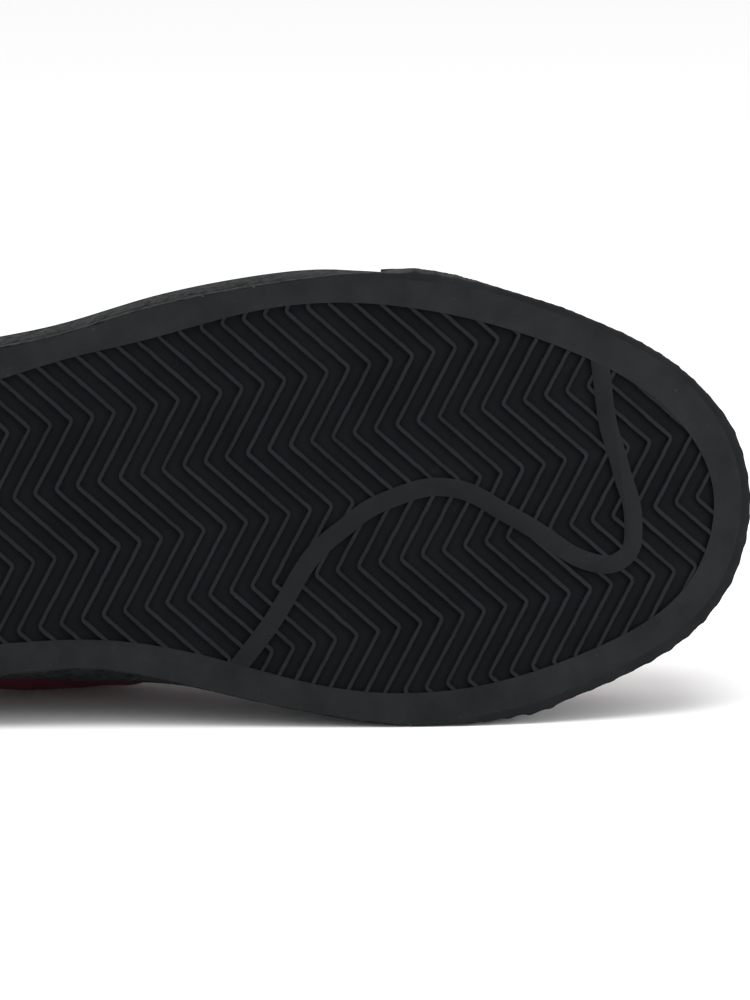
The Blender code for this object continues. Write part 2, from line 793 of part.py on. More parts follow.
def make_lace_bars(under):
    """Flat lace lying tight across the tongue and the eyestay between each pair of eyelets."""
    made = []
    tree = search_tree(under)
    for number, place in enumerate(eyelet_places(), 1):
        start, end = (edge_point(p, eyelet_inset)[0] for p in (place, loop_count - place))
        centre, half = (start + end) / 2, abs(start[1] - end[1]) / 2
        up = tongue_top_section(place)[1]
        width = np.cross(up, (0, 1, 0))
        spread = np.linspace(-half, half, lace_sections)
        heights = []
        for y in spread:
            found = []
            for aside in (-half / 12, 0, half / 12):
                for share in np.linspace(-lace_probe_share, lace_probe_share, 5):
                    origin = centre + np.array([0, y + aside, 0]) + up * probe_height
                    origin = origin + width * lace_width * share
                    depth = tree.ray_cast(Vector(origin), Vector(-up))[3]
                    found.append(probe_height - depth if depth else -probe_height)
            heights.append(max(found) + lace_clearance)
        heights = taut(spread, heights)
        line = centre + np.outer(spread, (0, 1, 0)) + np.outer(heights, up)
        way = np.gradient(line, axis=0)
        rings = []
        for point, step in zip(line, way):
            step = step / np.linalg.norm(step)
            face = np.cross(step, width)
            face *= math.copysign(1, np.dot(face, up))
            half_width, top = width * lace_width / 2, face * lace_thickness
            half_top = half_width * lace_edge_share
            upper_edge = point + top
            rings.append([point - half_width, point + half_width, upper_edge + half_top, upper_edge - half_top])
        bar = swept(np.array(rings), closed=False)
        made.append(add_object(f"lace_bar_{number}", *bar, textile(), padding_density))
    return made


def weight_of(pieces):
    """Volume, centre of mass and every point of the pieces, with their modifiers."""
    graph = bpy.context.evaluated_depsgraph_get()
    total, moment, cloud = 0.0, np.zeros(3), []
    for piece in pieces:
        mesh = piece.evaluated_get(graph).to_mesh()
        mesh.calc_loop_triangles()
        points = np.array([v.co for v in mesh.vertices])
        corners = points[np.array([t.vertices for t in mesh.loop_triangles])]
        volumes = np.einsum("ij,ij->i", corners[:, 0], np.cross(corners[:, 1], corners[:, 2])) / 6
        total += volumes.sum() * piece["density"]
        moment += (volumes[:, None] * corners.sum(axis=1) / 4).sum(axis=0) * piece["density"]
        cloud.append(points)
    return moment / total, np.concatenate(cloud)


def lay_on_side(pieces):
    """Turns the standing shoe onto the face of its hull, on the inner side, that its weight rests on."""
    bpy.context.view_layer.update()
    centre, cloud = weight_of(pieces)
    hull = bmesh.new()
    for point in cloud:
        hull.verts.new(point)
    bmesh.ops.convex_hull(hull, input=hull.verts, use_existing_faces=False)
    best = None
    for face in hull.faces:
        normal = np.array(face.normal)
        if normal[1] < 0.7:
            continue
        foot = centre + normal * np.dot(np.array(face.verts[0].co) - centre, normal)
        sides = []
        for start, end in zip(face.verts, [*face.verts[1:], face.verts[0]]):
            sides.append((end.co - start.co).cross(Vector(foot) - start.co).dot(face.normal))
        if min(sides) >= 0 or max(sides) <= 0:
            best = normal
            break
    hull.free()
    down = Vector(best)
    ahead = Vector((1, 0, 0)) - down * down.x
    ahead.normalize()
    back = down.cross(ahead)
    turn = Matrix((ahead, -back, -down))
    if (turn @ Vector((0, 0, -1))).y > 0:
        turn = Matrix((ahead, back, -down))
    placed = np.array([turn @ Vector(p) for p in cloud])
    low, high = placed.min(axis=0), placed.max(axis=0)
    shift = Vector((-(low[0] + high[0]) / 2, -(low[1] + high[1]) / 2, -low[2]))
    lying.matrix_world = Matrix.Translation(shift) @ turn.to_4x4()


clear_scene()
lying = bpy.data.objects.new("lying_on_inner_side", None)
bpy.context.scene.collection.objects.link(lying)
station = station_table()
grid, distance = wall_rows()
normals = surface_normals(grid)
eyelet_cutter = make_eyelet_cutter()
shoe = [make_outsole(), make_foxing(), make_bumper(), make_upper(), make_eyestay()]
shoe += make_guard_and_counter()
shoe += [make_tongue(), make_insole()]
shoe += make_eyelets()
shoe += make_lace_bars(shoe)
lay_on_side(shoe)
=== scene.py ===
import bpy, json, math
import numpy as np
from mathutils import Matrix, Vector, noise


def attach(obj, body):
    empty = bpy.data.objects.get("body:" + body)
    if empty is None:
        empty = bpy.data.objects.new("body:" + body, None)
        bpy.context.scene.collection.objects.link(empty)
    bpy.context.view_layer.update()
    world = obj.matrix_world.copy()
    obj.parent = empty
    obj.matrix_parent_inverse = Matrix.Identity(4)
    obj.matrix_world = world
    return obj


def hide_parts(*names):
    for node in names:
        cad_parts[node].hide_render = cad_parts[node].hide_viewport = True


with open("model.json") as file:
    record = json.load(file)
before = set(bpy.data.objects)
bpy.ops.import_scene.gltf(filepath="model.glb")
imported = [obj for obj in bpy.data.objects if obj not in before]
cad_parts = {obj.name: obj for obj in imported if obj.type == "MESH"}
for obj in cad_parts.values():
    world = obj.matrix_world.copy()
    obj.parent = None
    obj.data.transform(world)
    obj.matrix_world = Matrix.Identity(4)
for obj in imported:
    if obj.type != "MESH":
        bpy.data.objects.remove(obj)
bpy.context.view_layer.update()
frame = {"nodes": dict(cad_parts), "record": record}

mm = 0.001

# in the shoe's own frame the toe points to +X, the inner side to +Y, and it stands up along +Z
treadSpot = (75 * mm, 0, 1.1 * mm)  # the record's heel_tread there; forefoot_tread lies straight ahead of it


def lyingMatrix():
    mounts = {m["name"]: m for m in frame["record"]["mounts"]}
    heel, ball = Vector(mounts["heel_tread"]["pos_m"]), Vector(mounts["forefoot_tread"]["pos_m"])
    up = -Vector(mounts["heel_tread"]["axis"]).normalized()
    ahead = ball - heel
    ahead = (ahead - up * ahead.dot(up)).normalized()
    spin = Matrix((ahead, up.cross(ahead), up)).transposed()
    return Matrix.Translation(heel - spin @ Vector(treadSpot)) @ spin.to_4x4()


lying = lyingMatrix()

shoe = {
    "length": 296.2 * mm, "halfBall": 54.7 * mm, "instep": 97.0 * mm,
    "spring": 12.5 * mm, "springFrom": 0.690, "heelLift": 1.2 * mm, "liftTo": 0.060,
    "foxing": 25.5 * mm, "foxingThick": 3.0 * mm, "lipHeight": 5.2 * mm,
    "stackToe": 10.0 * mm, "stackHeel": 13.5 * mm, "recess": 1.1 * mm,
    "wall": 2.2 * mm, "padding": 5.5 * mm, "overlay": 1.4 * mm, "gap": 0.3 * mm, "eyestayWidth": 24 * mm,
}

# along is a share of the length; across, rim, lean and belly are shares of half the ball's width:
# first the inner side, then the outer side
soleRows = [
    (0.000, 0.000, 0.128, -0.020, -0.040, 0.000, 0.000, 0.128, -0.020, -0.040),
    (0.030, 0.400, 0.128, -0.020, -0.052, 0.030, 0.400, 0.128, -0.020, -0.052),
    (0.125, 0.685, 0.130, -0.012, -0.058, 0.125, 0.685, 0.120, -0.010, -0.058),
    (0.265, 0.655, 0.135, 0.014, 0.066, 0.260, 0.738, 0.128, 0.008, -0.060),
    (0.405, 0.618, 0.137, 0.056, 0.174, 0.400, 0.813, 0.142, 0.016, -0.066),
    (0.468, 0.630, 0.131, 0.062, 0.170, 0.460, 0.852, 0.111, 0.015, -0.074),
    (0.530, 0.719, 0.147, 0.036, 0.066, 0.520, 0.921, 0.131, 0.017, -0.074),
    (0.650, 0.922, 0.128, -0.018, -0.070, 0.640, 0.997, 0.106, 0.010, -0.072),
    (0.765, 1.009, 0.153, -0.030, -0.085, 0.735, 0.994, 0.141, -0.004, -0.080),
    (0.873, 0.872, 0.130, -0.034, -0.060, 0.883, 0.708, 0.138, -0.034, -0.068),
    (0.969, 0.589, 0.127, -0.034, -0.058, 0.962, 0.421, 0.151, -0.034, -0.062),
    (1.004, 0.064, 0.133, -0.034, -0.056, 1.004, 0.064, 0.133, -0.034, -0.056),
]

# the edge of collar and throat: along, across, height as a share of the instep, belly up inner and outer,
# shoulder in and up, padding
upperRows = [
    (0.036, 0.000, 0.870, 0.170, 0.170, 0.30, 0.52, 1.0),
    (0.060, 0.285, 0.845, 0.170, 0.170, 0.32, 0.52, 1.0),
    (0.130, 0.500, 0.735, 0.165, 0.165, 0.34, 0.50, 1.0),
    (0.245, 0.560, 0.680, 0.300, 0.160, 0.34, 0.52, 1.0),
    (0.362, 0.455, 0.845, 0.400, 0.170, 0.30, 0.58, 0.6),
    (0.425, 0.350, 0.990, 0.380, 0.175, 0.31, 0.60, 0.0),
    (0.475, 0.310, 0.955, 0.200, 0.165, 0.32, 0.60, 0.0),
    (0.560, 0.265, 0.845, 0.110, 0.120, 0.33, 0.58, 0.0),
    (0.622, 0.220, 0.770, 0.070, 0.075, 0.33, 0.56, 0.0),
    (0.664, 0.165, 0.727, 0.035, 0.035, 0.33, 0.53, 0.0),
    (0.688, 0.095, 0.706, 0.025, 0.025, 0.33, 0.50, 0.0),
    (0.697, 0.018, 0.700, 0.022, 0.022, 0.33, 0.47, 0.0),
]
cornerRow, toeRow = 5, 11
cadSteps = 3  # stations between two rows in the CAD, which its fractional places count in


# a smooth cubic curve through the values at the knots, read at the places
def cubicThrough(knots, values, places, closed=False):
    knots, values = np.asarray(knots, float), np.asarray(values, float)
    count = len(knots) - (1 if closed else 0)
    spans = np.diff(knots)
    system, right = np.eye(count), np.zeros((count,) + values.shape[1:])
    for k in range(count) if closed else range(1, count - 1):
        before, after = spans[k - 1], spans[k]
        system[k] = 0
        system[k, (k - 1) % count] += before
        system[k, k] += 2 * (before + after)
        system[k, (k + 1) % count] += after
        right[k] = 6 * ((values[(k + 1) % count] - values[k]) / after - (values[k] - values[k - 1]) / before)
    bend = np.linalg.solve(system, right.reshape(count, -1)).reshape(right.shape)
    if closed:
        bend, values = np.concatenate([bend, bend[:1]]), np.concatenate([values, values[:1]])
    places = np.asarray(places, float)
    k = np.clip(np.searchsorted(knots, places, side="right") - 1, 0, len(knots) - 2)
    span = (knots[k + 1] - knots[k])
    b = (places - knots[k]) / span
    a = 1 - b
    shape = (-1,) + (1,) * (values.ndim - 1)
    a, b, span = a.reshape(shape), b.reshape(shape), span.reshape(shape)
    bending = ((a**3 - a) * bend[k] + (b**3 - b) * bend[k + 1]) * span * span / 6
    return a * values[k] + b * values[k + 1] + bending


# distance run along a line of points, at each of its points
def runAlong(points):
    return np.concatenate([[0], np.cumsum(np.linalg.norm(np.diff(points, axis=0), axis=1))])


# values of a closed table read between its rows
def sampled(values, places):
    count = len(values)
    low = np.floor(places).astype(int)
    share = (places - low).reshape((-1,) + (1,) * (values.ndim - 1))
    return values[low % count] * (1 - share) + values[(low + 1) % count] * share


def underside(along):
    springFrom = shoe["springFrom"] * shoe["length"]
    toe = np.clip((along - springFrom) / ((1 - shoe["springFrom"]) * shoe["length"]), 0, None)
    heel = np.clip(1 - along / (shoe["liftTo"] * shoe["length"]), 0, None)
    return shoe["spring"] * toe**2 + shoe["heelLift"] * heel**2


def stackHeight(along):
    return shoe["stackHeel"] + (shoe["stackToe"] - shoe["stackHeel"]) * np.clip(along / shoe["length"], 0, 1)


# the two tables as one smooth loop round the shoe: heel, inner side, toe, outer side
def stationTable(steps):
    rows = []
    order = [(k, 1) for k in range(toeRow + 1)] + [(k, -1) for k in range(toeRow - 1, 0, -1)]
    for k, side in order:
        sole, top = soleRows[k][0 if side > 0 else 5:][:5], upperRows[k]
        across = 1 if k == toeRow else side
        rows.append((
            sole[0] * shoe["length"], sole[1] * shoe["halfBall"] * across, sole[2] * shoe["halfBall"],
            sole[3] * shoe["halfBall"], sole[4] * shoe["halfBall"],
            top[3 if side > 0 else 4] * shoe["instep"] / 2,
            top[0] * shoe["length"], top[1] * shoe["halfBall"] * across, top[2] * shoe["instep"],
            top[5], top[6], top[7] * shoe["padding"],
        ))
    rows = np.array(rows)
    strides = np.linalg.norm(np.roll(rows[:, :2], -1, axis=0) - rows[:, :2], axis=1)
    knots = np.concatenate([[0], np.cumsum(strides)])
    places = np.concatenate([np.linspace(knots[k], knots[k + 1], steps, endpoint=False) for k in range(len(rows))])
    table = cubicThrough(knots, rows, places, closed=True)
    names = ["along", "across", "rim", "lean", "belly", "bellyUp",
             "edgeAlong", "edgeAcross", "edgeHeight", "shoulderIn", "shoulderUp", "padding"]
    return {n: table[:, k] for k, n in enumerate(names)}


def outwardOf(points):
    way = np.roll(points, -1, axis=0) - np.roll(points, 1, axis=0)
    normal = np.stack([-way[:, 1], way[:, 0]], axis=1)
    return normal / np.linalg.norm(normal, axis=1)[:, None]


# the sole's outline moved out by an offset, at a share of the foxing's height
def soleLoop(station, offset, height):
    edge = np.stack([station["along"], station["across"]], axis=1)
    return edge + outwardOf(edge) * (np.asarray(offset) + station["lean"] * height)[:, None]


# left-hand direction across a flat line of points
def leftOf(line):
    way = np.gradient(line, axis=0)
    return np.stack([-way[:, 1], way[:, 0]], axis=1) / np.linalg.norm(way, axis=1)[:, None]


# making pieces

def alone():
    bpy.ops.object.select_all(action="DESELECT")


def pick(piece):
    alone()
    piece.select_set(True)
    bpy.context.view_layer.objects.active = piece


def useModifier(piece, kind, **settings):
    modifier = piece.modifiers.new(kind.lower(), kind)
    for key, value in settings.items():
        setattr(modifier, key, value)
    pick(piece)
    bpy.ops.object.modifier_apply(modifier=modifier.name)


# joins the piece with another or cuts it by that one, which then goes
def combine(piece, other, operation):
    useModifier(piece, "BOOLEAN", object=other, operation=operation, solver="EXACT")
    bpy.data.objects.remove(other, do_unlink=True)


def roundEdges(piece, width, segments, angle):
    useModifier(piece, "BEVEL", width=width, segments=segments, limit_method="ANGLE", angle_limit=math.radians(angle))


# closes the open ends of a tube
def capEnds(piece):
    pick(piece)
    bpy.ops.object.mode_set(mode="EDIT")
    bpy.ops.mesh.select_all(action="DESELECT")
    bpy.ops.mesh.select_mode(type="EDGE")
    bpy.ops.mesh.select_non_manifold()
    bpy.ops.mesh.edge_face_add()
    bpy.ops.mesh.select_all(action="SELECT")
    bpy.ops.mesh.normals_make_consistent(inside=False)
    bpy.ops.object.mode_set(mode="OBJECT")


# lays the piece on its side in its own mesh and hands it to the frame
def finished(piece, materials, replaces=(), angle=40):
    piece.data.transform(lying)
    kept = np.zeros(len(piece.data.polygons), np.int32)
    piece.data.polygons.foreach_get("material_index", kept)
    piece.data.materials.clear()
    for material in materials:
        piece.data.materials.append(material)
    piece.data.polygons.foreach_set("material_index", kept.clip(0, len(materials) - 1))
    pick(piece)
    bpy.ops.object.shade_smooth_by_angle(angle=math.radians(angle))
    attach(piece, "root")
    if replaces:
        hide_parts(*replaces)
    return piece


# a grid primitive whose points are then placed: rows of points, each row the same count
def gridPiece(name, points):
    rows, count = points.shape[:2]
    alone()
    bpy.ops.mesh.primitive_grid_add(x_subdivisions=count - 1, y_subdivisions=rows - 1, size=1, location=(0, 0, 0))
    piece = bpy.context.object
    piece.name = piece.data.name = name
    piece.data.vertices.foreach_set("co", np.ascontiguousarray(points.reshape(-1, 3), np.float32).ravel())
    piece.data.update()
    return piece


# a grid closed round its section, and round the shoe too unless it is a tube with ends
def closedGrid(name, points, around=True):
    if around:
        points = np.concatenate([points, points[:, :1]], axis=1)
    points = np.concatenate([points, points[:1]], axis=0)
    piece = gridPiece(name, points)
    pick(piece)
    bpy.ops.object.mode_set(mode="EDIT")
    bpy.ops.mesh.select_all(action="SELECT")
    bpy.ops.mesh.remove_doubles(threshold=0.001 * mm)
    bpy.ops.mesh.normals_make_consistent(inside=False)
    bpy.ops.object.mode_set(mode="OBJECT")
    return piece


# a flat plate over an outline, from a circle primitive filled and extruded
def plate(name, outline, low, high):
    alone()
    bpy.ops.mesh.primitive_circle_add(vertices=len(outline), radius=1, fill_type="NGON")
    piece = bpy.context.object
    piece.name = piece.data.name = name
    points = np.column_stack([outline, np.full(len(outline), low)])
    piece.data.vertices.foreach_set("co", points.astype(np.float32).ravel())
    bpy.ops.object.mode_set(mode="EDIT")
    bpy.ops.mesh.select_all(action="SELECT")
    bpy.ops.mesh.extrude_region_move(TRANSFORM_OT_translate={"value": (0, 0, high - low)})
    bpy.ops.mesh.select_all(action="SELECT")
    bpy.ops.mesh.normals_make_consistent(inside=False)
    bpy.ops.object.mode_set(mode="OBJECT")
    return piece


# cuts the piece by planes across the shoe, so that it can bend with the toe's spring
def sliceAcross(piece, places):
    pick(piece)
    bpy.ops.object.mode_set(mode="EDIT")
    for place in places:
        bpy.ops.mesh.select_all(action="SELECT")
        bpy.ops.mesh.bisect(plane_co=(place, 0, 0), plane_no=(1, 0, 0), threshold=1e-6)
    bpy.ops.object.mode_set(mode="OBJECT")


def springUp(piece):
    co = np.zeros(len(piece.data.vertices) * 3, np.float32)
    piece.data.vertices.foreach_get("co", co)
    co = co.reshape(-1, 3)
    co[:, 2] += underside(co[:, 0])
    piece.data.vertices.foreach_set("co", co.ravel())
    piece.data.update()


def joined(name, pieces):
    alone()
    for piece in pieces:
        piece.select_set(True)
    bpy.context.view_layer.objects.active = pieces[0]
    bpy.ops.object.join()
    made = bpy.context.object
    made.name = made.data.name = name
    return made


def copyOf(piece, name, matrix):
    made = piece.copy()
    made.data = piece.data.copy()
    made.name = made.data.name = name
    made.data.transform(matrix)
    bpy.context.scene.collection.objects.link(made)
    return made


def standAt(point, x, y, z):
    return Matrix.Translation(Vector(point)) @ Matrix((x, y, z)).transposed().to_4x4()


# materials, on object coordinates

def linear(hexColour):
    parts = [int(hexColour[k:k + 2], 16) / 255 for k in (1, 3, 5)]
    return (*[c / 12.92 if c <= 0.04045 else ((c + 0.055) / 1.055) ** 2.4 for c in parts], 1)


# adds a node, sets its settings and inputs, and links other nodes' outputs into it
def node(tree, kind, inputs=None, links=None, **settings):
    made = tree.nodes.new(kind)
    for key, value in settings.items():
        setattr(made, key, value)
    for key, value in (inputs or {}).items():
        made.inputs[key].default_value = value
    for key, source in (links or {}).items():
        tree.links.new(source, made.inputs[key])
    return made


def ramp(tree, factor, stops):
    made = node(tree, "ShaderNodeValToRGB", links={"Fac": factor})
    elements = made.color_ramp.elements
    while len(elements) < len(stops):
        elements.new(0.5)
    for element, (place, colour) in zip(elements, stops):
        element.position = place
        element.color = linear(colour) if isinstance(colour, str) else (colour, colour, colour, 1)
    return made.outputs["Color"]


def cloudy(tree, place, size, detail, roughness=0.5):
    inputs = {"Scale": 1 / size, "Detail": detail, "Roughness": roughness}
    return node(tree, "ShaderNodeTexNoise", inputs, {"Vector": place}).outputs["Fac"]


# the first pattern by its share, on top of the second
def laidOver(tree, pattern, share, under):
    return node(tree, "ShaderNodeMath", {1: share}, {0: pattern, 2: under}, operation="MULTIPLY_ADD").outputs[0]


def newMaterial(name, **constants):
    material = bpy.data.materials.new(name)
    material.use_nodes = True
    tree = material.node_tree
    shader = tree.nodes["Principled BSDF"]
    for key, value in constants.items():
        shader.inputs[key.replace("_", " ")].default_value = value
    return material, tree, shader, node(tree, "ShaderNodeTexCoord").outputs["Object"]


def relief(tree, shader, height, strength, distance):
    push = node(tree, "ShaderNodeBump", {"Strength": strength, "Distance": distance}, {"Height": height})
    tree.links.new(push.outputs["Normal"], shader.inputs["Normal"])


# vulcanised black rubber, pressed in a mould: matt, with faint mould grain, grey bloom in patches and pale scuffs
def mouldedRubber(name, dark, light, roughness, grain=0.35 * mm, bump=0.10, sheen=0.12,
                  patch=22 * mm, scuffs=0.0, chalk="#303234", worn=0.0):
    material, tree, shader, place = newMaterial(name, IOR=1.52, Specular_IOR_Level=sheen)
    bloom = cloudy(tree, place, patch, 4.0, 0.6)
    flecks = ramp(tree, cloudy(tree, place, 1.1 * mm, 3.0, 0.6), [(0.64, 0.0), (0.80, 1.0)])
    tone = laidOver(tree, flecks, scuffs, bloom)
    colour = ramp(tree, tone, [(0.30, dark), (0.72, light), (1.0, chalk)])
    tree.links.new(colour, shader.inputs["Base Color"])
    rough = ramp(tree, bloom, [(0.25, roughness - 0.06), (0.75, roughness + 0.05)])
    tree.links.new(rough, shader.inputs["Roughness"])
    relief(tree, shader, cloudy(tree, place, grain, 2.0, 0.55), bump, 0.1 * mm)
    if worn:  # short rub marks down the wall take the gloss away and bring it back
        wall = node(tree, "ShaderNodeMapping", {"Scale": (1, 0.32, 1)}, {"Vector": place}).outputs[0]
        rubs = cloudy(tree, wall, 1.8 * mm, 3.0, 0.65)
        gloss = ramp(tree, rubs, [(0.36, sheen * (1 - worn)), (0.64, sheen * (1 + worn))])
        tree.links.new(gloss, shader.inputs["Specular IOR Level"])
    return material


# split cowhide with a raised nap, dull dark red: soft patches where the nap lies one way or the other,
# and a nap drawn about twice as coarse as real so that it shows
def brushedSuede(name, dark, light):
    material, tree, shader, place = newMaterial(name, Roughness=0.95, Specular_IOR_Level=0.12, Sheen_Weight=0.25,
                                                Sheen_Roughness=0.5, Sheen_Tint=linear("#7d4650"))
    lengthwise = node(tree, "ShaderNodeMapping", {"Scale": (0.45, 1, 1)}, {"Vector": place}).outputs[0]
    nap = cloudy(tree, place, 0.9 * mm, 3.0, 0.7)
    tone = laidOver(tree, nap, 0.65, cloudy(tree, lengthwise, 17 * mm, 3.0))
    tree.links.new(ramp(tree, tone, [(0.54, dark), (1.12, light)]), shader.inputs["Base Color"])
    relief(tree, shader, nap, 0.5, 0.3 * mm)
    return material


# knitted spacer mesh for linings: small round cells, 1.1 mm apart as on the real cloth, with a dull fuzzy face
def spacerMesh(name, dark, light):
    material, tree, shader, place = newMaterial(name, Roughness=0.92, Specular_IOR_Level=0.15, Sheen_Weight=0.04)
    cells = node(tree, "ShaderNodeTexVoronoi", {"Scale": 1 / (1.1 * mm), "Randomness": 0.55}, {"Vector": place})
    height = laidOver(tree, cloudy(tree, place, 0.6 * mm, 2.0), 0.35, cells.outputs["Distance"])
    tree.links.new(ramp(tree, height, [(0.25, dark), (0.75, light)]), shader.inputs["Base Color"])
    relief(tree, shader, height, 0.5, 0.25 * mm)
    return material


# flat woven polyester lace or thread: fine ribs across and along, about twice as coarse as real so that they show
def wovenTape(name, dark, light, thread):
    material, tree, shader, place = newMaterial(name, Roughness=0.85, Specular_IOR_Level=0.2)
    bands = {"Scale": 0.5 / thread, "Distortion": 0.3}
    warp = node(tree, "ShaderNodeTexWave", bands, {"Vector": place}, bands_direction="X").outputs["Fac"]
    weft = node(tree, "ShaderNodeTexWave", bands, {"Vector": place}, bands_direction="Z").outputs["Fac"]
    weave = node(tree, "ShaderNodeMath", None, {0: warp, 1: weft}, operation="MULTIPLY").outputs[0]
    tree.links.new(ramp(tree, weave, [(0.0, dark), (1.0, light)]), shader.inputs["Base Color"])
    relief(tree, shader, weave, 0.45, 0.2 * mm)
    return material


# small brass rings with black stove enamel: satin, a little worn at the rim
def enamelledBrass(name):
    material, tree, shader, place = newMaterial(name, Roughness=0.30)
    wear = cloudy(tree, place, 1.2 * mm, 3.0)
    tree.links.new(ramp(tree, wear, [(0.55, "#131314"), (0.80, "#2c2b2b")]), shader.inputs["Base Color"])
    return material


rimRubber = mouldedRubber("vulcanised rubber rim", "#131516", "#1e2021", 0.62, sheen=0.08, patch=10 * mm, scuffs=0.5)
# the sunk ground between the ribs is coloured darker than the ribs and the rim: painted shade of the recess, added to
# the shade the render casts there
shadedGroundRubber = mouldedRubber("vulcanised rubber tread ground", "#0f1112", "#141617", 0.82,
                             grain=0.5 * mm, bump=0.16, sheen=0.02)
ribRubber = mouldedRubber("vulcanised rubber tread ribs", "#131617", "#1a1d1f", 0.60,
                          sheen=0.08, patch=9 * mm, scuffs=0.4)
flexRubber = mouldedRubber("vulcanised rubber flex rib", "#111415", "#181a1b", 0.62,
                           sheen=0.08, patch=9 * mm, scuffs=0.4)
foxingRubber = mouldedRubber("calendered rubber foxing tape", "#0c0d0e", "#1f2122", 0.74, grain=0.8 * mm, bump=0.3,
                             sheen=0.05, patch=4.5 * mm, scuffs=0.9, chalk="#505254", worn=0.85)
bumperRubber = mouldedRubber("moulded rubber toe bumper", "#121415", "#1b1d1e", 0.66,
                             sheen=0.06, patch=9 * mm, scuffs=0.4)
redSuede = brushedSuede("dark red brushed suede", "#451e27", "#5b2c36")
blackMesh = spacerMesh("black knitted spacer mesh", "#0b0b0c", "#1a1a1c")
blackLace = wovenTape("black flat woven lace", "#0c0c0d", "#1f1f22", 0.8 * mm)
stitchThread = wovenTape("dusty red bonded thread", "#7a4450", "#a06e78", 0.4 * mm)
blackEnamel = enamelledBrass("black enamelled brass")
print("materials ready")


# outsole: rim, sunk tread field, herringbone ribs and the flex rib

tread = {
    "stations": 14,            # points of the outline between two table rows
    "sliceEvery": 5.0 * mm,
    "ribStep": (5.173 * mm, -0.525 * mm),   # from one herringbone rib to the next
    "longLeg": (14.11 * mm, 14.86 * mm),
    "shortLeg": (-10.75 * mm, 16.78 * mm),
    "anchor": (210.61 * mm, -33.25 * mm),   # a corner that points to the toe
    "legsDown": 7, "legsUp": 5,             # legs of a rib on either side of the anchor
    "ribWidth": 1.08 * mm, "ribTopWidth": 0.72 * mm,
    "ribTop": 0.08 * mm,                    # how far the ribs' tops lie below the rim
    "ribSunk": 0.25 * mm,                   # how far ribs reach into the ground and the rim
    "ribCount": (-44, 26),
    "flexWidth": 4.5 * mm, "flexTop": 0.02 * mm, "flexSunk": 0.3 * mm, "flexPoints": 140,
    "cornerRound": 0.95 * mm,
    "ribPoints": 1.3 * mm,      # spacing of points along a rib
    "uneven": 0.15 * mm, "unevenSize": 2.0 * mm,   # how far the moulded edges wander, and over what length
    "flange": 0.3 * mm, "flangeDepth": 0.4 * mm,   # the tread plate is cured over the foxing up to this from the edge
    "proud": 0.015 * mm,
}
flexRoute = [
    (168.0, 41.5), (173.1, 36.0), (181.4, 26.8), (185.4, 21.4), (194.6, 9.8), (200.8, 5.5), (206.4, 1.9),
    (213.9, -0.8), (221.2, -2.3), (227.4, -1.7), (233.7, 1.1), (237.3, 3.8), (246.8, 10.6), (251.3, 14.4),
    (255.6, 17.7), (260.4, 19.9), (263.7, 20.5), (266.7, 19.6), (269.0, 17.5), (270.0, 13.7), (270.3, 9.6),
    (270.2, 6.7), (268.8, 0.3), (267.7, -5.8), (266.3, -12.1), (265.8, -17.7), (265.6, -24.0), (265.4, -31.5),
]  # centre line of the flex rib, mm along and across
fine = stationTable(tread["stations"])
bendPlaces = np.arange(shoe["springFrom"] * shoe["length"], shoe["length"], tread["sliceEvery"])


def makeRim():
    inset = -(shoe["foxingThick"] + 0.01 * mm)  # cured against the foxing, without the CAD's running gap
    rim = plate("treadRim", soleLoop(fine, inset, 0.0), 0, shoe["stackToe"])
    flange = plate("flange", soleLoop(fine, -tread["flange"], 0.0), -tread["proud"], tread["flangeDepth"])
    combine(rim, flange, "UNION")
    pocket = plate("pocket", soleLoop(fine, -fine["rim"], 0), -shoe["recess"], shoe["recess"])
    combine(rim, pocket, "DIFFERENCE")
    sliceAcross(rim, bendPlaces)
    springUp(rim)
    rim.data.materials.clear()
    rim.data.materials.append(rimRubber)
    rim.data.materials.append(shadedGroundRubber)
    # faces on the floor of the sunk field take the darker rubber, whose darkness is painted shade
    for face in rim.data.polygons:
        depth = face.center.z - float(underside(face.center.x))
        face.material_index = 1 if abs(depth - shoe["recess"]) < 0.15 * mm and face.normal.z < -0.9 else 0
    return rim


def makeFlexRib():
    route = np.array(flexRoute) * mm
    knots = runAlong(route)
    line = cubicThrough(knots, route, np.linspace(0, knots[-1], tread["flexPoints"]))
    side = leftOf(line) * tread["flexWidth"] / 2
    outline = np.concatenate([line + side, (line - side)[::-1]])
    rib = plate("flexRib", outline, tread["flexTop"], shoe["recess"] + tread["flexSunk"])
    roundEdges(rib, 0.25 * mm, 2, 60)
    sliceAcross(rib, bendPlaces)
    springUp(rib)
    return rib


# corners of one zigzag rib, right across the tread and beyond, rounded and divided
def herringRoute():
    longLeg, shortLeg, anchor = (np.array(tread[k]) for k in ("longLeg", "shortLeg", "anchor"))
    down = [anchor]
    for k in range(tread["legsDown"]):
        down.append(down[-1] + (shortLeg if k % 2 == 0 else longLeg))
    up = [anchor]
    for k in range(tread["legsUp"]):
        up.append(up[-1] - (longLeg if k % 2 == 0 else shortLeg))
    corners = np.array(up[:0:-1] + down)
    line = [corners[0]]
    for before, corner, after in zip(corners[:-2], corners[1:-1], corners[2:]):
        a, b = before - corner, after - corner
        start = corner + a / np.linalg.norm(a) * tread["cornerRound"]
        end = corner + b / np.linalg.norm(b) * tread["cornerRound"]
        for t in (0, 0.25, 0.5, 0.75, 1):
            line.append(start * (1 - t) ** 2 + corner * 2 * t * (1 - t) + end * t * t)
    line.append(corners[-1])
    line = np.array(line)
    length = runAlong(line)
    places = [0.0]
    for before, after in zip(length[:-1], length[1:]):
        places += list(np.linspace(before, after, max(1, round((after - before) / tread["ribPoints"])) + 1)[1:])
    return np.column_stack([np.interp(places, length, line[:, k]) for k in (0, 1)])


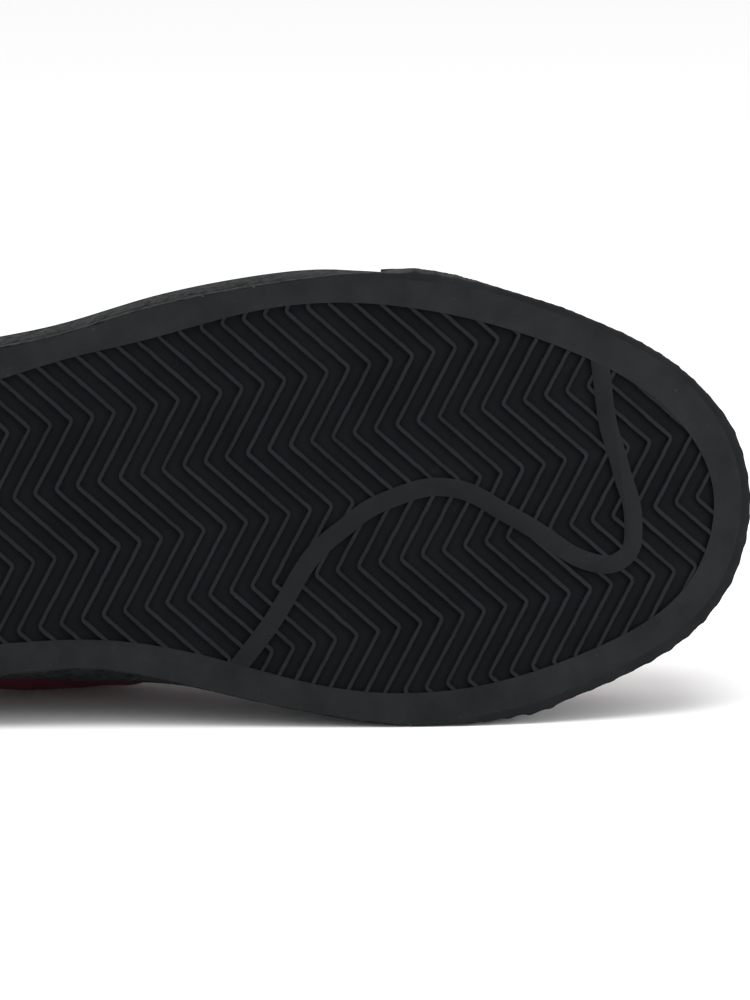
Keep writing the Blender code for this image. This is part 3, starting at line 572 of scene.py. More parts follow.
# lets the moulded edges wander a little in the tread's plane
def roughen(piece):
    for vertex in piece.data.vertices:
        shift = noise.noise_vector(vertex.co / tread["unevenSize"])
        vertex.co.x += shift.x * tread["uneven"]
        vertex.co.y += shift.y * tread["uneven"]
    piece.data.update()


def ribSection():
    half, top = tread["ribWidth"] / 2, tread["ribTopWidth"] / 2
    high = shoe["recess"] + tread["ribSunk"]
    shoulder, crown = tread["ribTop"] + 0.35 * mm, tread["ribTop"] + 0.03 * mm
    return [(-half, high), (-half, shoulder), (-top, crown), (top, crown), (half, shoulder), (half, high)]


def makeHerringbone():
    line = herringRoute()
    side = leftOf(line)
    rows = [np.column_stack([line + side * across, np.full(len(line), height)]) for across, height in ribSection()]
    rib = closedGrid("herringbone", np.array(rows), around=False)
    capEnds(rib)
    first, last = tread["ribCount"]
    step = Vector((*tread["ribStep"], 0))
    rib.data.transform(Matrix.Translation(step * first))
    useModifier(rib, "ARRAY", count=last - first, use_relative_offset=False,
                use_constant_offset=True, constant_offset_displace=step)
    outline = soleLoop(fine, -fine["rim"] + tread["ribSunk"], 0)
    combine(rib, plate("field", outline, -shoe["recess"], shoe["recess"] * 2), "INTERSECT")
    sliceAcross(rib, bendPlaces)
    roughen(rib)
    springUp(rib)
    return rib


finished(makeRim(), [rimRubber, shadedGroundRubber], ["outsole"], angle=30)
finished(makeFlexRib(), [flexRubber], angle=30)
herringbone = finished(makeHerringbone(), [ribRubber], angle=35)
print("tread", len(herringbone.data.polygons), "faces in the ribs")


# foxing and toe bumper

foxing = {
    # how far the tape stands out above its groove, mm, at places counted in table rows
    "innerBulge": [(0, 0.3), (3.0, 0.4), (3.9, 0.9), (4.25, 1.7), (4.75, 2.5), (5.1, 2.6), (5.5, 2.1),
                   (5.75, 1.5), (6.12, 1.0), (6.35, 0.3), (6.6, 0), (11, 0)],
    "outerBulge": [(0, 0.3), (5.0, 0.3), (5.9, 0.1), (6.4, 0.2), (6.9, 0.4), (7.12, 0.35), (7.25, 0.2), (7.38, 0),
                   (7.5, -0.3), (7.62, -0.7), (7.75, -0.95), (7.9, -1.15), (8.1, -1.15), (8.4, 0), (11, 0)],
    # mm out from the face, share of the bulge, and mm up from a level, going up the outside
    "section": [
        (-1.2, 0, "ground", 0), (-0.32, 0, "ground", 0.02), (-0.13, 0, "ground", 0.11), (-0.03, 0, "ground", 0.30),
        (0, 0, "ground", 0.65), (0, 0, "lip", -0.6), (-0.08, 0, "lip", -0.2), (-0.35, 0, "lip", 0),
        (-0.35, 0.05, "lip", 0.2), (-0.10, 0.1, "lip", 0.45), (0, 0.15, "lip", 0.9), (0, 0.7, "lower", 0),
        (0, 1, "upper", 0), (0, 1, "top", -2.6), (-0.3, 1, "top", -2.3), (-0.3, 1, "top", -2.1), (0, 1, "top", -1.8),
        (0, 1, "top", -0.9), (-0.12, 1, "top", -0.45), (-0.45, 1, "top", -0.12), (-0.9, 1, "top", 0),
    ],
}


def foxingBulge():
    rows = np.arange(len(fine["along"])) / tread["stations"]
    inner = np.interp(rows, *np.array(foxing["innerBulge"], float).T)
    outer = np.interp(2 * toeRow - rows, *np.array(foxing["outerBulge"], float).T)
    return np.where(rows <= toeRow, inner, outer) * mm


def makeFoxing():
    thick, high = shoe["foxingThick"], shoe["foxing"]
    levels = {"ground": 0, "lip": shoe["lipHeight"], "lower": high * 0.4, "upper": high * 0.6, "top": high}
    section = [(out * mm, share, levels[level] + rise * mm) for out, share, level, rise in foxing["section"]]
    bulge = foxingBulge()
    rows = []
    for offset, share, height in [(-thick, 0, 0), *section, (-thick, 0, high)]:
        plan = soleLoop(fine, offset + share * bulge, height / high)
        rows.append(np.column_stack([plan, underside(fine["along"]) + height]))
    return closedGrid("foxingTape", np.array(rows))


bumper = {
    # thickness in mm, at places counted in table rows: up the inner side to the toe's tip at 11, then down the outer
    "thick": [(7.90, 0.05), (8.12, 0.45), (8.38, 1.15), (8.50, 1.8), (8.62, 1.85), (8.75, 1.6), (9.0, 1.95),
              (9.5, 2.1), (9.75, 2.1), (10.0, 1.9), (10.25, 2.0), (10.4, 1.8), (11.0, 1.6), (11.5, 1.7),
              (11.75, 1.3), (12.0, 1.0), (12.5, 1.05), (12.9, 1.3), (13.12, 1.3), (13.4, 0.85), (13.6, 0.75),
              (13.88, 0.55), (13.98, 0.0), (14.10, -0.95)],
    "high": 22.5 * mm, "foot": 1.3 * mm, "backing": 0.3 * mm, "edgeRound": 0.45 * mm,
    "spacing": 0.45 * mm, "rows": 44, "samples": 400,
    "pitch": 5.2 * mm, "tooth": 0.34 * mm,   # crossed ridges
    "wearPatch": 4.5 * mm, "wearPatches": 80, "crumb": 0.15,
}


def makeBumper():
    table = np.array(bumper["thick"], float)
    start, end = table[0, 0] * tread["stations"], table[-1, 0] * tread["stations"]
    edge = np.stack([fine["along"], fine["across"]], axis=1)
    coarse = np.linspace(start, end, bumper["samples"])
    length = runAlong(sampled(edge, coarse))
    count = int(length[-1] / bumper["spacing"])
    run = np.linspace(0, length[-1], count)
    places = np.interp(run, length, coarse)
    thick = np.interp(places / tread["stations"], table[:, 0], table[:, 1]) * mm
    backing = np.minimum(0, sampled(foxingBulge(), places)) - bumper["backing"]  # cured into the foxing
    high, low, soft = bumper["high"], -2 * tread["proud"], bumper["edgeRound"]
    # fixed offset or none, share of the thickness, share of the teeth, height
    section = [(-bumper["foot"], 0, 0, low), (0, 0.45, 0, low), (0, 0.8, 0.5, 0.12 * mm)]
    section += [(0, 1, 1, soft + (high - 2 * soft) * k / bumper["rows"]) for k in range(bumper["rows"] + 1)]
    section += [(0, 0.8, 0.5, high - 0.12 * mm), (0, 0.4, 0, high), (None, 0, 0, high)]
    dice = np.random.RandomState(3)
    patches = dice.rand(bumper["wearPatches"])
    spot, normal, lean = sampled(edge, places), sampled(outwardOf(edge), places), sampled(fine["lean"], places)
    normal /= np.linalg.norm(normal, axis=1)[:, None]
    lift = underside(sampled(fine["along"], places))
    rows = []
    for fixed, share, toothShare, height in section:
        u, v = run / bumper["pitch"], height / bumper["pitch"]
        ridge = sum(np.maximum(1 - np.abs(((u + w) % 1) - 0.5) * 4, 0) for w in (v, -v))
        patch = np.interp((run + 0.6 * height) / bumper["wearPatch"], np.arange(bumper["wearPatches"]), patches)
        worn = 0.25 + 0.75 * patch
        crumb = dice.rand(count) * bumper["crumb"]
        teeth = (np.minimum(ridge, 1.2) * worn + crumb) * bumper["tooth"] * toothShare
        out = (backing if fixed is None else fixed) + thick * share + teeth * np.clip(thick / (0.5 * mm), 0, 1)
        rows.append(np.column_stack([spot + normal * (out + lean * height / shoe["foxing"])[:, None], lift + height]))
    piece = closedGrid("toeBumper", np.array(rows), around=False)
    capEnds(piece)
    return piece


finished(makeFoxing(), [foxingRubber], ["foxing"], angle=50)
finished(makeBumper(), [bumperRubber], ["toe_bumper"], angle=50)
print("foxing and bumper")


# upper

upper = {
    "steps": 16, "rows": 54, "linePoints": 80,
    "roll": (30, 60, 90, 120, 150),   # degrees over the rolled rim
    "paddingRun": 34 * mm, "paddingStart": 5 * mm,
    # soft troughs of wear: along as a share of the length, across and height in m, half length in m, depth in mm,
    # turn in degrees; across the vamp where the toes bend, at the ankle's sides and low on the heel
    "creases": [
        (0.735, 0.030, 0.042, 0.020, 1.8, 28), (0.765, -0.022, 0.040, 0.018, 1.6, -24),
        (0.710, 0.000, 0.052, 0.022, 1.4, 4), (0.330, 0.036, 0.056, 0.020, 1.6, 60),
        (0.315, -0.036, 0.056, 0.020, 1.6, -60), (0.160, 0.033, 0.050, 0.016, 1.0, 80),
        (0.160, -0.034, 0.050, 0.016, 1.0, -80), (0.480, -0.044, 0.050, 0.024, 1.2, -40),
        (0.500, 0.040, 0.056, 0.022, 1.2, 44),
    ],
    "trough": 2.6 * mm, "ridge": 3.2 * mm, "ridgeAt": 5 * mm, "ridgeShare": 0.55,
}
skinStation = stationTable(upper["steps"])
skinCount = len(skinStation["along"])


# fine outer lines of the upper, foot to edge, one for each station
def wallLines():
    st = skinStation
    along = st["along"]
    inset = -(shoe["foxingThick"] + shoe["gap"])
    foot = stackHeight(along) + shoe["gap"]
    foxTop = underside(along) + shoe["foxing"]
    feather = soleLoop(st, inset, foot / shoe["foxing"])
    clear = soleLoop(st, inset, 1.0)
    belly = soleLoop(st, st["belly"], 0.0)
    edge = np.stack([st["edgeAlong"], st["edgeAcross"]], axis=1)
    bellyHeight = foxTop + st["bellyUp"] + 2 * shoe["gap"]
    shoulder = belly + (edge - belly) * st["shoulderIn"][:, None]
    shoulderHeight = bellyHeight + (st["edgeHeight"] - bellyHeight) * st["shoulderUp"]
    low = np.column_stack([feather, underside(along) + foot])
    high = np.stack([
        np.column_stack([clear, foxTop + shoe["gap"]]), np.column_stack([belly, bellyHeight]),
        np.column_stack([shoulder, shoulderHeight]), np.column_stack([edge, st["edgeHeight"]]),
    ], axis=1)
    lines = []
    for foot3, points in zip(low, high):
        knots = runAlong(points)
        curve = cubicThrough(knots, points, np.linspace(0, knots[-1], upper["linePoints"]))
        lines.append(np.concatenate([foot3[None], curve]))
    return np.array(lines)


def readLine(line, distances):
    length = runAlong(line)
    return np.stack([np.interp(distances, length, line[:, k]) for k in range(3)], axis=1)


def normalsOf(grid):
    around = np.roll(grid, -1, axis=0) - np.roll(grid, 1, axis=0)
    normal = np.cross(np.gradient(grid, axis=1), around)
    return normal / np.maximum(np.linalg.norm(normal, axis=2), 1e-12)[:, :, None]


lines = wallLines()
lengths = np.linalg.norm(np.diff(lines, axis=1), axis=2)
total, sunk = lengths.sum(axis=1), lengths[:, 0]
free = total - sunk
shares = np.linspace(0, 1, upper["rows"] - 1)
distances = np.concatenate([np.zeros((skinCount, 1)), sunk[:, None] + free[:, None] * shares], axis=1)
skin = np.array([readLine(line, far) for line, far in zip(lines, distances)])
skinDistance = total[:, None] - distances  # down from the collar's or throat's edge
skinNormal = normalsOf(skin)


# depth of the creases, positive inwards
def creaseDepth(points):
    depth = np.zeros(points.shape[:-1])
    for along, across, height, half, deep, angle in upper["creases"]:
        d = points - np.array([along * shoe["length"], across, height])
        turn = math.radians(angle)
        run = d[..., 1] * math.cos(turn) + d[..., 0] * math.sin(turn)
        beside = d[..., 0] * math.cos(turn) - d[..., 1] * math.sin(turn)
        far = np.exp(-(run / half) ** 2 - (d[..., 2] / (half * 1.1)) ** 2)
        fold = np.exp(-(beside / upper["trough"]) ** 2)
        for at in (upper["ridgeAt"], -upper["ridgeAt"]):
            fold = fold - upper["ridgeShare"] * np.exp(-((beside - at) / upper["ridge"]) ** 2)
        depth += deep * mm * far * fold
    return depth


fadeAtEdge = np.clip(skinDistance / (8 * mm), 0, 1)
fadeAtFoxing = np.clip((total[:, None] - skinDistance - sunk[:, None]) / (6 * mm), 0, 1)
skin = skin - skinNormal * (creaseDepth(skin) * fadeAtEdge * fadeAtFoxing)[:, :, None]
skinNormal = normalsOf(skin)


# a point over the upper: fractional station of this grid, distance down from the edge, height off the face
def onSkin(place, fromEdge, lift=0.0):
    low = int(math.floor(place))
    share = place - low
    point, normal = np.zeros(3), np.zeros(3)
    for index, weight in ((low, 1 - share), (low + 1, share)):
        index %= skinCount
        distance = skinDistance[index][::-1]
        point += weight * np.array([np.interp(fromEdge, distance, skin[index][::-1, k]) for k in range(3)])
        normal += weight * np.array([np.interp(fromEdge, distance, skinNormal[index][::-1, k]) for k in range(3)])
    normal /= np.linalg.norm(normal)
    return point + normal * lift, normal


def freeAt(place):
    return float(sampled(free, np.array([place]))[0])


def cadPlace(place):
    return place / cadSteps * upper["steps"]


def makeUpper():
    swell = np.sqrt(np.clip(1 - skinDistance / upper["paddingRun"], 0, 1))
    swell = swell * np.clip(skinDistance / upper["paddingStart"], 0, 1) ** 0.5
    depth = shoe["wall"] + skinStation["padding"].clip(0, None)[:, None] * swell
    inner = skin - skinNormal * depth[:, :, None]
    # the rim rolls over from the outer face to the lining
    middle = (skin[:, -1] + inner[:, -1]) / 2
    up = skin[:, -1] - skin[:, -2]
    up /= np.linalg.norm(up, axis=1)[:, None]
    halfWall = np.linalg.norm(skin[:, -1] - inner[:, -1], axis=1)[:, None] / 2
    roll = []
    for turn in upper["roll"]:
        a = math.radians(turn)
        roll.append(middle + (skin[:, -1] - middle) * math.cos(a) + up * halfWall * 0.8 * math.sin(a))
    rows = np.concatenate([skin, np.array(roll).transpose(1, 0, 2), inner[:, ::-1]], axis=1).transpose(1, 0, 2)
    piece = closedGrid("suedeUpper", rows)
    # faces of a grid come row by row: after the outer rows and half of the rolled rim comes the lining
    faceRows = np.arange(2 * upper["rows"] + len(upper["roll"]))
    lining = np.repeat((faceRows >= upper["rows"] + len(upper["roll"]) // 2).astype(np.int32), skinCount)
    lining[-skinCount:] = 0
    piece.data.materials.append(redSuede)
    piece.data.materials.append(blackMesh)
    piece.data.polygons.foreach_set("material_index", lining)
    return piece


collar = makeUpper()
print("upper", len(collar.data.polygons), "faces")


# a suede overlay: a patch over the upper, given its thickness and rounded edges
def panel(name, places, distancesAt):
    points = np.array([[onSkin(p, d, shoe["gap"])[0] for d in distancesAt(p)] for p in places]).transpose(1, 0, 2)
    piece = gridPiece(name, points)
    middle = len(places) // 2
    centre = Vector(points[len(points) // 2][middle])
    nearest = min(piece.data.polygons, key=lambda face: (face.center - centre).length)
    if nearest.normal.dot(Vector(onSkin(places[middle], 12 * mm)[1])) < 0:
        piece.data.flip_normals()
    useModifier(piece, "SOLIDIFY", thickness=shoe["overlay"], offset=1.0)
    roundEdges(piece, 0.35 * mm, 3, 55)
    return piece


eyelet = {"pairs": 6, "inset": 11.5 * mm, "hole": 2.2 * mm, "flange": 1.4 * mm, "height": 0.7 * mm,
          "sunk": 2.2 * mm, "wall": 0.4 * mm, "holeClear": 0.15 * mm}


def eyeletPlaces():
    first, last = cadPlace(cornerRow * cadSteps + 1.2), cadPlace((toeRow - 1) * cadSteps - 0.6)
    places = np.linspace(first, last, 60)
    length = runAlong(np.array([onSkin(p, 0.0)[0] for p in places]))
    return np.interp(np.linspace(0, length[-1], eyelet["pairs"]), length, places)


# a matrix that stands +Z along the normal at the point
def standOn(point, normal):
    z = Vector(normal)
    x = Vector((0, 1, 0)).cross(z).normalized()
    return standAt(point, x, z.cross(x), z)


eyeletStands = []
for number, place in enumerate(eyeletPlaces(), 1):
    for side, at in (("inner", place), ("outer", skinCount - place)):
        eyeletStands.append((f"eyelet_{side}_{number}", standOn(*onSkin(at, eyelet["inset"]))))


def makeHoleCutter():
    alone()
    radius = eyelet["hole"] + eyelet["holeClear"]
    bpy.ops.mesh.primitive_cylinder_add(vertices=24, radius=radius, depth=14 * mm, location=(0, 0, 0))
    rod = bpy.context.object
    rods = [copyOf(rod, "rod", stand) for _, stand in eyeletStands]
    bpy.data.objects.remove(rod, do_unlink=True)
    return joined("holeCutter", rods)


eyestayPlaces = np.linspace(cornerRow * upper["steps"], skinCount - cornerRow * upper["steps"], 131)
eyestayRows = np.linspace(0.2 * mm, shoe["eyestayWidth"], 12)
holeCutter = makeHoleCutter()
eyestay = panel("eyestayPanel", eyestayPlaces, lambda p: eyestayRows)
useModifier(eyestay, "BOOLEAN", object=holeCutter, operation="DIFFERENCE", solver="EXACT")
combine(collar, holeCutter, "DIFFERENCE")


def guardHeight(place):
    return (freeAt(place) - shoe["eyestayWidth"]) / 4


def counterHeight(place):
    return 3 * guardHeight(place)


# rows of an overlay that stands on the foxing's edge
def lowRows(heightAt):
    low = 0.4 * mm
    return lambda p: freeAt(p) - low - np.linspace(0, 1, 14) * (heightAt(p) - low)


toePlace = toeRow * upper["steps"]
reach = 2 * upper["steps"] + upper["steps"] / cadSteps
guardPlaces = np.linspace(toePlace - reach, toePlace + reach, 120)
heelPlaces = np.linspace(-reach, reach, 110)
guard = panel("toeGuard", guardPlaces, lowRows(guardHeight))
counter = panel("heelCounter", heelPlaces, lowRows(counterHeight))

finished(collar, [redSuede, blackMesh], ["upper"])
finished(eyestay, [redSuede], ["eyestay"])
finished(guard, [redSuede], ["toe_guard"])
finished(counter, [redSuede], ["heel_counter"])
print("panels")


# stitches

stitch = {"long": 2.3 * mm, "thick": 0.55 * mm, "pitch": 3.1 * mm, "margin": 2.4 * mm, "samples": 240,
          "sunk": 0.05 * mm}


# a row of short threads lying along a line on the panels
def stitchRow(name, routeAt):
    shares = np.linspace(0, 1, stitch["samples"])
    length = runAlong(np.array([routeAt(t)[0] for t in shares]))
    count = int(length[-1] / stitch["pitch"])
    alone()
    bpy.ops.mesh.primitive_ico_sphere_add(subdivisions=1, radius=0.5)
    one = bpy.context.object
    one.data.transform(Matrix.Diagonal((stitch["long"], stitch["thick"], stitch["thick"] * 0.8, 1)))
    made = []
    for s in np.linspace(stitch["pitch"], length[-1] - stitch["pitch"], count):
        t = float(np.interp(s, length, shares))
        point, normal = routeAt(t)
        x = Vector(routeAt(min(1, t + 0.004))[0] - routeAt(max(0, t - 0.004))[0]).normalized()
        z = Vector(normal)
        z = (z - x * z.dot(x)).normalized()
        made.append(copyOf(one, "thread", standAt(point, x, z.cross(x), z)))
    bpy.data.objects.remove(one, do_unlink=True)
    finished(joined(name, made), [stitchThread], angle=80)


over = shoe["gap"] + shoe["overlay"]


def alongPlaces(places, t):
    return places[0] + (places[-1] - places[0]) * t


def eyestayRoute(fromEdge):
    return lambda t: onSkin(alongPlaces(eyestayPlaces, t), fromEdge, over)


def overlayRoute(places, heightAt):
    def at(t):
        place = alongPlaces(places, t)
        return onSkin(place, freeAt(place) - heightAt(place) + stitch["margin"], over)
    return at


def collarRoute(t):
    return onSkin((eyestayPlaces[0] - 2) * (2 * t - 1), 9.0 * mm, stitch["sunk"])


def sideSeam(side, shift):
    def at(t):
        row = 9.1 - 1.5 * t
        place = row * upper["steps"] if side > 0 else skinCount - row * upper["steps"]
        down = shoe["eyestayWidth"] + 1 * mm + (freeAt(place) - shoe["eyestayWidth"] - 2 * mm) * t
        return onSkin(place + side * shift, down, stitch["sunk"])
    return at


stitchRow("eyestayStitchesLow", eyestayRoute(shoe["eyestayWidth"] - stitch["margin"]))
stitchRow("eyestayStitchesLower", eyestayRoute(shoe["eyestayWidth"] - 4.6 * mm))
stitchRow("eyestayStitchesEdge", eyestayRoute(2.6 * mm))
stitchRow("guardStitches", overlayRoute(guardPlaces, guardHeight))
stitchRow("counterStitches", overlayRoute(heelPlaces, counterHeight))
stitchRow("collarStitches", collarRoute)
for side, word in ((1, "Inner"), (-1, "Outer")):
    for row, shift in enumerate((0, 0.6), 1):
        stitchRow(f"side{word}Stitches_{row}", sideSeam(side, shift))
print("stitches")


# eyelets: the ring's section is drawn once and turned round the hole

def makeEyelet():
    r, f, h = eyelet["hole"], eyelet["flange"], eyelet["height"]
    base = 2 * shoe["gap"] + shoe["overlay"]
    bore, sunk = r - eyelet["wall"], -eyelet["sunk"]
    section = [(bore, sunk), (r, sunk), (r, base), (r + f, base), (r + f, base + h * 0.35),
               (r + f * 0.8, base + h * 0.8), (r + f * 0.45, base + h), (r + f * 0.1, base + h * 0.85),
               (r - 0.25 * mm, base + h * 0.45), (bore, base)]
    turns = np.linspace(0, 2 * math.pi, 32, endpoint=False)
    rows = np.array([[(radius * math.cos(t), radius * math.sin(t), z) for t in turns] for radius, z in section])
    return closedGrid("eyeletRing", rows)


ring = makeEyelet()
for name, stand in eyeletStands:
    made = copyOf(ring, name.replace("eyelet", "ring"), stand)
    finished(made, [blackEnamel], [name], angle=60)
bpy.data.objects.remove(ring, do_unlink=True)
print("eyelets")


# tongue

tongue = {
    "thick": 4.2 * mm, "rise": 1.2 * mm, "wing": 8.5 * mm, "free": 30 * mm, "clearance": 0.9 * mm,
    "tilt": math.radians(18), "curl": 0.11,
    # along the free end as a share of its length, and half its width in mm
    "freeRows": [(0.14, 15.8), (0.25, 17.0), (0.36, 19.0), (0.50, 20.6), (0.68, 21.6),
                 (0.82, 21.4), (0.91, 19.8), (0.97, 16.4), (1.0, 11.5)],
    "sections": 11, "rows": 70, "columns": 41,
    "channels": (49, 55, 61), "channelDepth": 0.6 * mm,   # stitched channels pull the padding down
}


def tongueSection(place):
    wings, normals = [], []
    for at in (place, skinCount - place):
        padding = max(0.0, float(sampled(skinStation["padding"], np.array([at]))[0]))
        row = []
        for fromEdge in (tongue["wing"], tongue["wing"] / 2, 0.0):
            point, normal = onSkin(at, fromEdge)
            row.append(point - normal * (shoe["wall"] + tongue["clearance"] + padding))
        wings.append(row)
        normals.append(onSkin(at, 0.0)[1])
    up = normals[0] + normals[1]
    up[1] = 0
    up /= np.linalg.norm(up)
    inner, outer = wings
    rise = shoe["wall"] + tongue["clearance"] + tongue["rise"]
    middle = []
    for share in (0.25, 0.5, 0.75):
        middle.append(inner[-1] * (1 - share) + outer[-1] * share + up * math.sin(math.pi * share) * rise)
    return np.array([*inner, *middle, *outer[::-1]]), up


def makeTongue():
    tops, ups = [], []
    first, last = cadPlace((toeRow - 0.45) * cadSteps), cadPlace(cornerRow * cadSteps + 1.2)
    for place in np.linspace(first, last, tongue["sections"]):
        section, up = tongueSection(place)
        tops.append(section)
        ups.append(up)
    centre = tops[-1][4]
    way = centre - tops[-3][4]
    way[1] = 0
    way /= np.linalg.norm(way)
    up = ups[-1]
    across = np.arange(9)
    spread = np.linspace(1, -1, len(across))
    for share, halfWidth in tongue["freeRows"]:
        turn = tongue["tilt"] * share
        lean, face = way * math.cos(turn) + up * math.sin(turn), up * math.cos(turn) - way * math.sin(turn)
        half = halfWidth * mm
        point = centre + lean * tongue["free"] * share
        curl = np.outer(spread**2 * half * tongue["curl"], face)
        tops.append(point + np.outer(spread * half, (0, 1, 0)) - curl)
        ups.append(face)
    tops, ups = np.array(tops), np.array(ups)
    count, columns = tongue["rows"], tongue["columns"]
    rows = np.arange(len(tops))
    places = np.linspace(0, len(tops) - 1, count)
    tops, ups = cubicThrough(rows, tops, places), cubicThrough(rows, ups, places)
    tops = cubicThrough(across, tops.transpose(1, 0, 2), np.linspace(0, 8, columns)).transpose(1, 0, 2)
    side = np.abs(np.linspace(-1, 1, columns))
    row = np.arange(count)
    end = np.clip(np.minimum(row, count - 1 - row) / 4, 0, 1)
    thin = 0.30 + 0.70 * np.clip((1 - side) / 0.3, 0, 1) ** 0.5
    thick = tongue["thick"] * thin[None, :] * (0.45 + 0.55 * end**0.5)[:, None]
    channel = np.zeros((count, columns))
    for at in tongue["channels"]:
        channel += tongue["channelDepth"] * np.exp(-((row[:, None] - at) / 0.9) ** 2)
    bottoms = tops - ups[:, None, :] * thick[:, :, None]
    tops = tops - ups[:, None, :] * np.minimum(channel, thick * 0.25)[:, :, None]
    # section loop: over the top, down the edge, back under
    loop = np.concatenate([tops, bottoms[:, ::-1]], axis=1)
    piece = closedGrid("tonguePad", loop.transpose(1, 0, 2), around=False)
    capEnds(piece)
    roundEdges(piece, 0.7 * mm, 3, 50)
    return piece


tonguePad = makeTongue()
finished(tonguePad, [blackMesh], ["tongue"], angle=50)
print("tongue")


# lace

lace = {
    "width": 7.0 * mm, "thick": 1.3 * mm, "endWidth": 2.9 * mm, "endThick": 2.2 * mm,   # gathered in the eyelets
    "narrowRun": 7 * mm, "dip": 2.2 * mm, "overRing": 0.9 * mm, "points": 90, "around": 16,
}


# each bar keeps the line of its CAD solid, read from that node's own middle, and dips into its eyelets
def laceLine(number, inner, outer, normalIn, normalOut):
    back = lying.inverted()
    sections = {}
    for vertex in frame["nodes"][f"lace_bar_{number}"].data.vertices:
        point = np.array(back @ vertex.co)
        sections.setdefault(round(point[1] / (0.4 * mm)), []).append(point)
    groups = [np.array(points) for _, points in sorted(sections.items()) if len(points) > 3]
    middles = np.array([(g.min(axis=0) + g.max(axis=0)) / 2 for g in groups])
    half = inner[1]
    within = middles[np.abs(middles[:, 1]) < half * 0.95]
    ys = np.linspace(half * 0.80, -half * 0.80, 9)
    alongFit = np.polyfit(within[:, 1], within[:, 0], 1)
    bothSides = np.concatenate([within[:, 1], -within[:, 1]])
    heightFit = np.polyfit(bothSides, np.concatenate([within[:, 2]] * 2), 2)
    knots = np.column_stack([np.polyval(alongFit, ys), ys, np.polyval(heightFit, ys)])
    height = shoe["gap"] * 2 + shoe["overlay"] + eyelet["height"] + lace["overRing"]
    route = np.array([
        inner - normalIn * lace["dip"], inner + normalIn * height * 0.75, *knots,
        outer + normalOut * height * 0.75, outer - normalOut * lace["dip"],
    ])
    length = runAlong(route)
    run = np.linspace(0, length[-1], lace["points"])
    return cubicThrough(length, route, run), run


def makeLace(number):
    stands = [stand for key, stand in eyeletStands if key.endswith(f"_{number}")]
    inner, outer = (np.array(stand.translation) for stand in stands)
    normalIn, normalOut = (np.array(stand.col[2][:3]) for stand in stands)
    line, run = laceLine(number, inner, outer, normalIn, normalOut)
    up = normalIn + normalOut
    up[1] = 0
    up /= np.linalg.norm(up)
    widthWay = np.cross(up, (0, 1, 0))
    way = np.gradient(line, axis=0)
    full = np.clip(np.minimum(run, run[-1] - run) / lace["narrowRun"], 0, 1)
    full = full * full * (3 - 2 * full)
    halfWidth = (lace["endWidth"] + (lace["width"] - lace["endWidth"]) * full) / 2
    halfThick = (lace["endThick"] + (lace["thick"] - lace["endThick"]) * full) / 2
    rows = []
    for turn in np.linspace(0, 2 * math.pi, lace["around"], endpoint=False):
        across = math.copysign(abs(math.cos(turn)) ** 0.55, math.cos(turn))
        lift = math.copysign(abs(math.sin(turn)) ** 0.8, math.sin(turn))
        row = []
        for k in range(lace["points"]):
            step = way[k] / np.linalg.norm(way[k])
            w = widthWay - step * np.dot(widthWay, step)
            w /= np.linalg.norm(w)
            f = np.cross(step, w)
            if np.dot(f, up) < -1e-3:
                f = -f
            row.append(line[k] + w * halfWidth[k] * across + f * halfThick[k] * lift)
        rows.append(row)
    return closedGrid(f"flatLace_{number}", np.array(rows), around=False)


for number in range(1, eyelet["pairs"] + 1):
    finished(makeLace(number), [blackLace], [f"lace_bar_{number}"], angle=60)
print("laces")


# footbed

footbed = {"thick": 4.0 * mm, "clearance": 0.5 * mm, "edge": 1.2 * mm, "slices": 7 * mm}


def makeFootbed():
    inset = -(shoe["foxingThick"] + shoe["gap"] + shoe["wall"] + footbed["clearance"])
    outline = soleLoop(skinStation, inset, shoe["stackHeel"] / shoe["foxing"])
    piece = plate("footbed", outline, 0, footbed["thick"])
    roundEdges(piece, footbed["edge"], 3, 60)
    sliceAcross(piece, np.arange(footbed["slices"], shoe["length"], footbed["slices"]))
    for vertex in piece.data.vertices:
        vertex.co.z += float(underside(vertex.co.x) + stackHeight(vertex.co.x)) + shoe["gap"]
    return piece


finished(makeFootbed(), [blackMesh], ["insole"], angle=40)
print("footbed")


# floor, light and camera

bpy.context.scene.view_settings.view_transform = "Standard"


# a wide sheet of white paper
def makeFloor():
    alone()
    bpy.ops.mesh.primitive_plane_add(size=8, location=(0, 0, -0.2 * mm))
    floor = bpy.context.object
    floor.name = "paleFloor"
    paper = newMaterial("white paper sweep", Base_Color=linear("#f4f4f4"), Roughness=0.9, Specular_IOR_Level=0.1)
    floor.data.materials.append(paper[0])


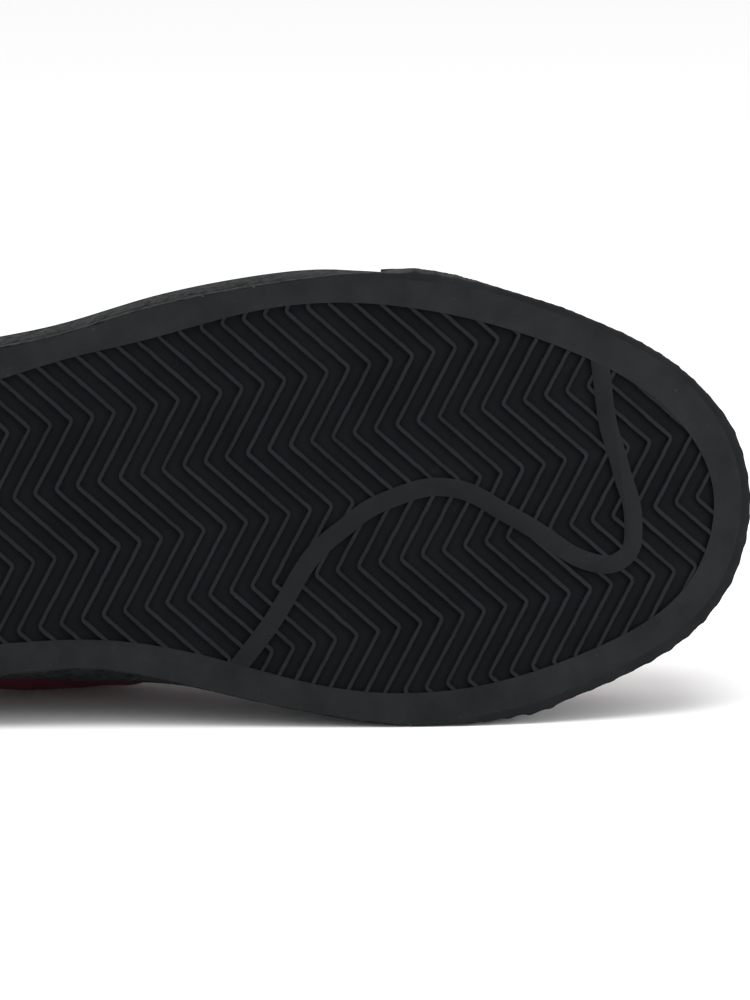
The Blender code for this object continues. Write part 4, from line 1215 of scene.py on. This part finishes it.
makeFloor()
world = bpy.data.worlds.new("white studio")
bpy.context.scene.world = world
world.use_nodes = True
world.node_tree.nodes["Background"].inputs["Color"].default_value = (1, 1, 1, 1)
world.node_tree.nodes["Background"].inputs["Strength"].default_value = 1.0


def softbox(name, place, aim, size, power):
    alone()
    bpy.ops.object.light_add(type="AREA", location=place)
    lamp = bpy.context.object
    lamp.name = name
    lamp.data.shape = "RECTANGLE"
    lamp.data.size, lamp.data.size_y = size
    lamp.data.energy = power
    lamp.rotation_euler = (Vector(aim) - Vector(place)).to_track_quat("-Z", "Y").to_euler()


softbox("topSoftbox", (0.1, -0.35, 1.1), (0, 0, 0.05), (0.9, 0.6), 8)
softbox("toeSoftbox", (1.0, -0.55, 0.30), (0.12, -0.05, 0), (0.5, 0.4), 5)

# long lens, above the tread's normal by overSole and rolled so that the shoe's axis rises by axisRise, in degrees
view = {
    "aim": (208.77 * mm, -0.52 * mm, 0.0), "overSole": 5.5, "axisRise": 5.0, "distance": 1.6,
    "pixelsPerMm": 4.17, "pixels": 1000, "sensor": 36,
}


def makeCamera():
    spin = lying.to_3x3()
    soleOut = (spin @ Vector((0, 0, -1))).normalized()
    tilt = math.asin(soleOut.z) + math.radians(view["overSole"])
    flat = Vector((soleOut.x, soleOut.y, 0)).normalized()
    towards = flat * math.cos(tilt) + Vector((0, 0, math.sin(tilt)))
    aim = lying @ Vector(view["aim"])
    camera = bpy.data.objects.new("camera", bpy.data.cameras.new("camera"))
    bpy.context.scene.collection.objects.link(camera)
    camera.data.lens = view["sensor"] * view["distance"] * 1000 / (view["pixels"] / view["pixelsPerMm"])
    right = Vector((0, 0, 1)).cross(towards).normalized()
    up = towards.cross(right)
    axis = spin @ Vector((1, 0, 0))
    turn = math.atan2(axis.dot(up), axis.dot(right)) - math.radians(view["axisRise"])
    newRight = right * math.cos(turn) + up * math.sin(turn)
    newUp = up * math.cos(turn) - right * math.sin(turn)
    camera.matrix_world = standAt(aim + towards * view["distance"], newRight, newUp, towards)
    camera.data.clip_end = 50
    bpy.context.scene.camera = camera
    print("camera at elevation", round(math.degrees(tilt), 2), "roll", round(math.degrees(turn), 2))


makeCamera()
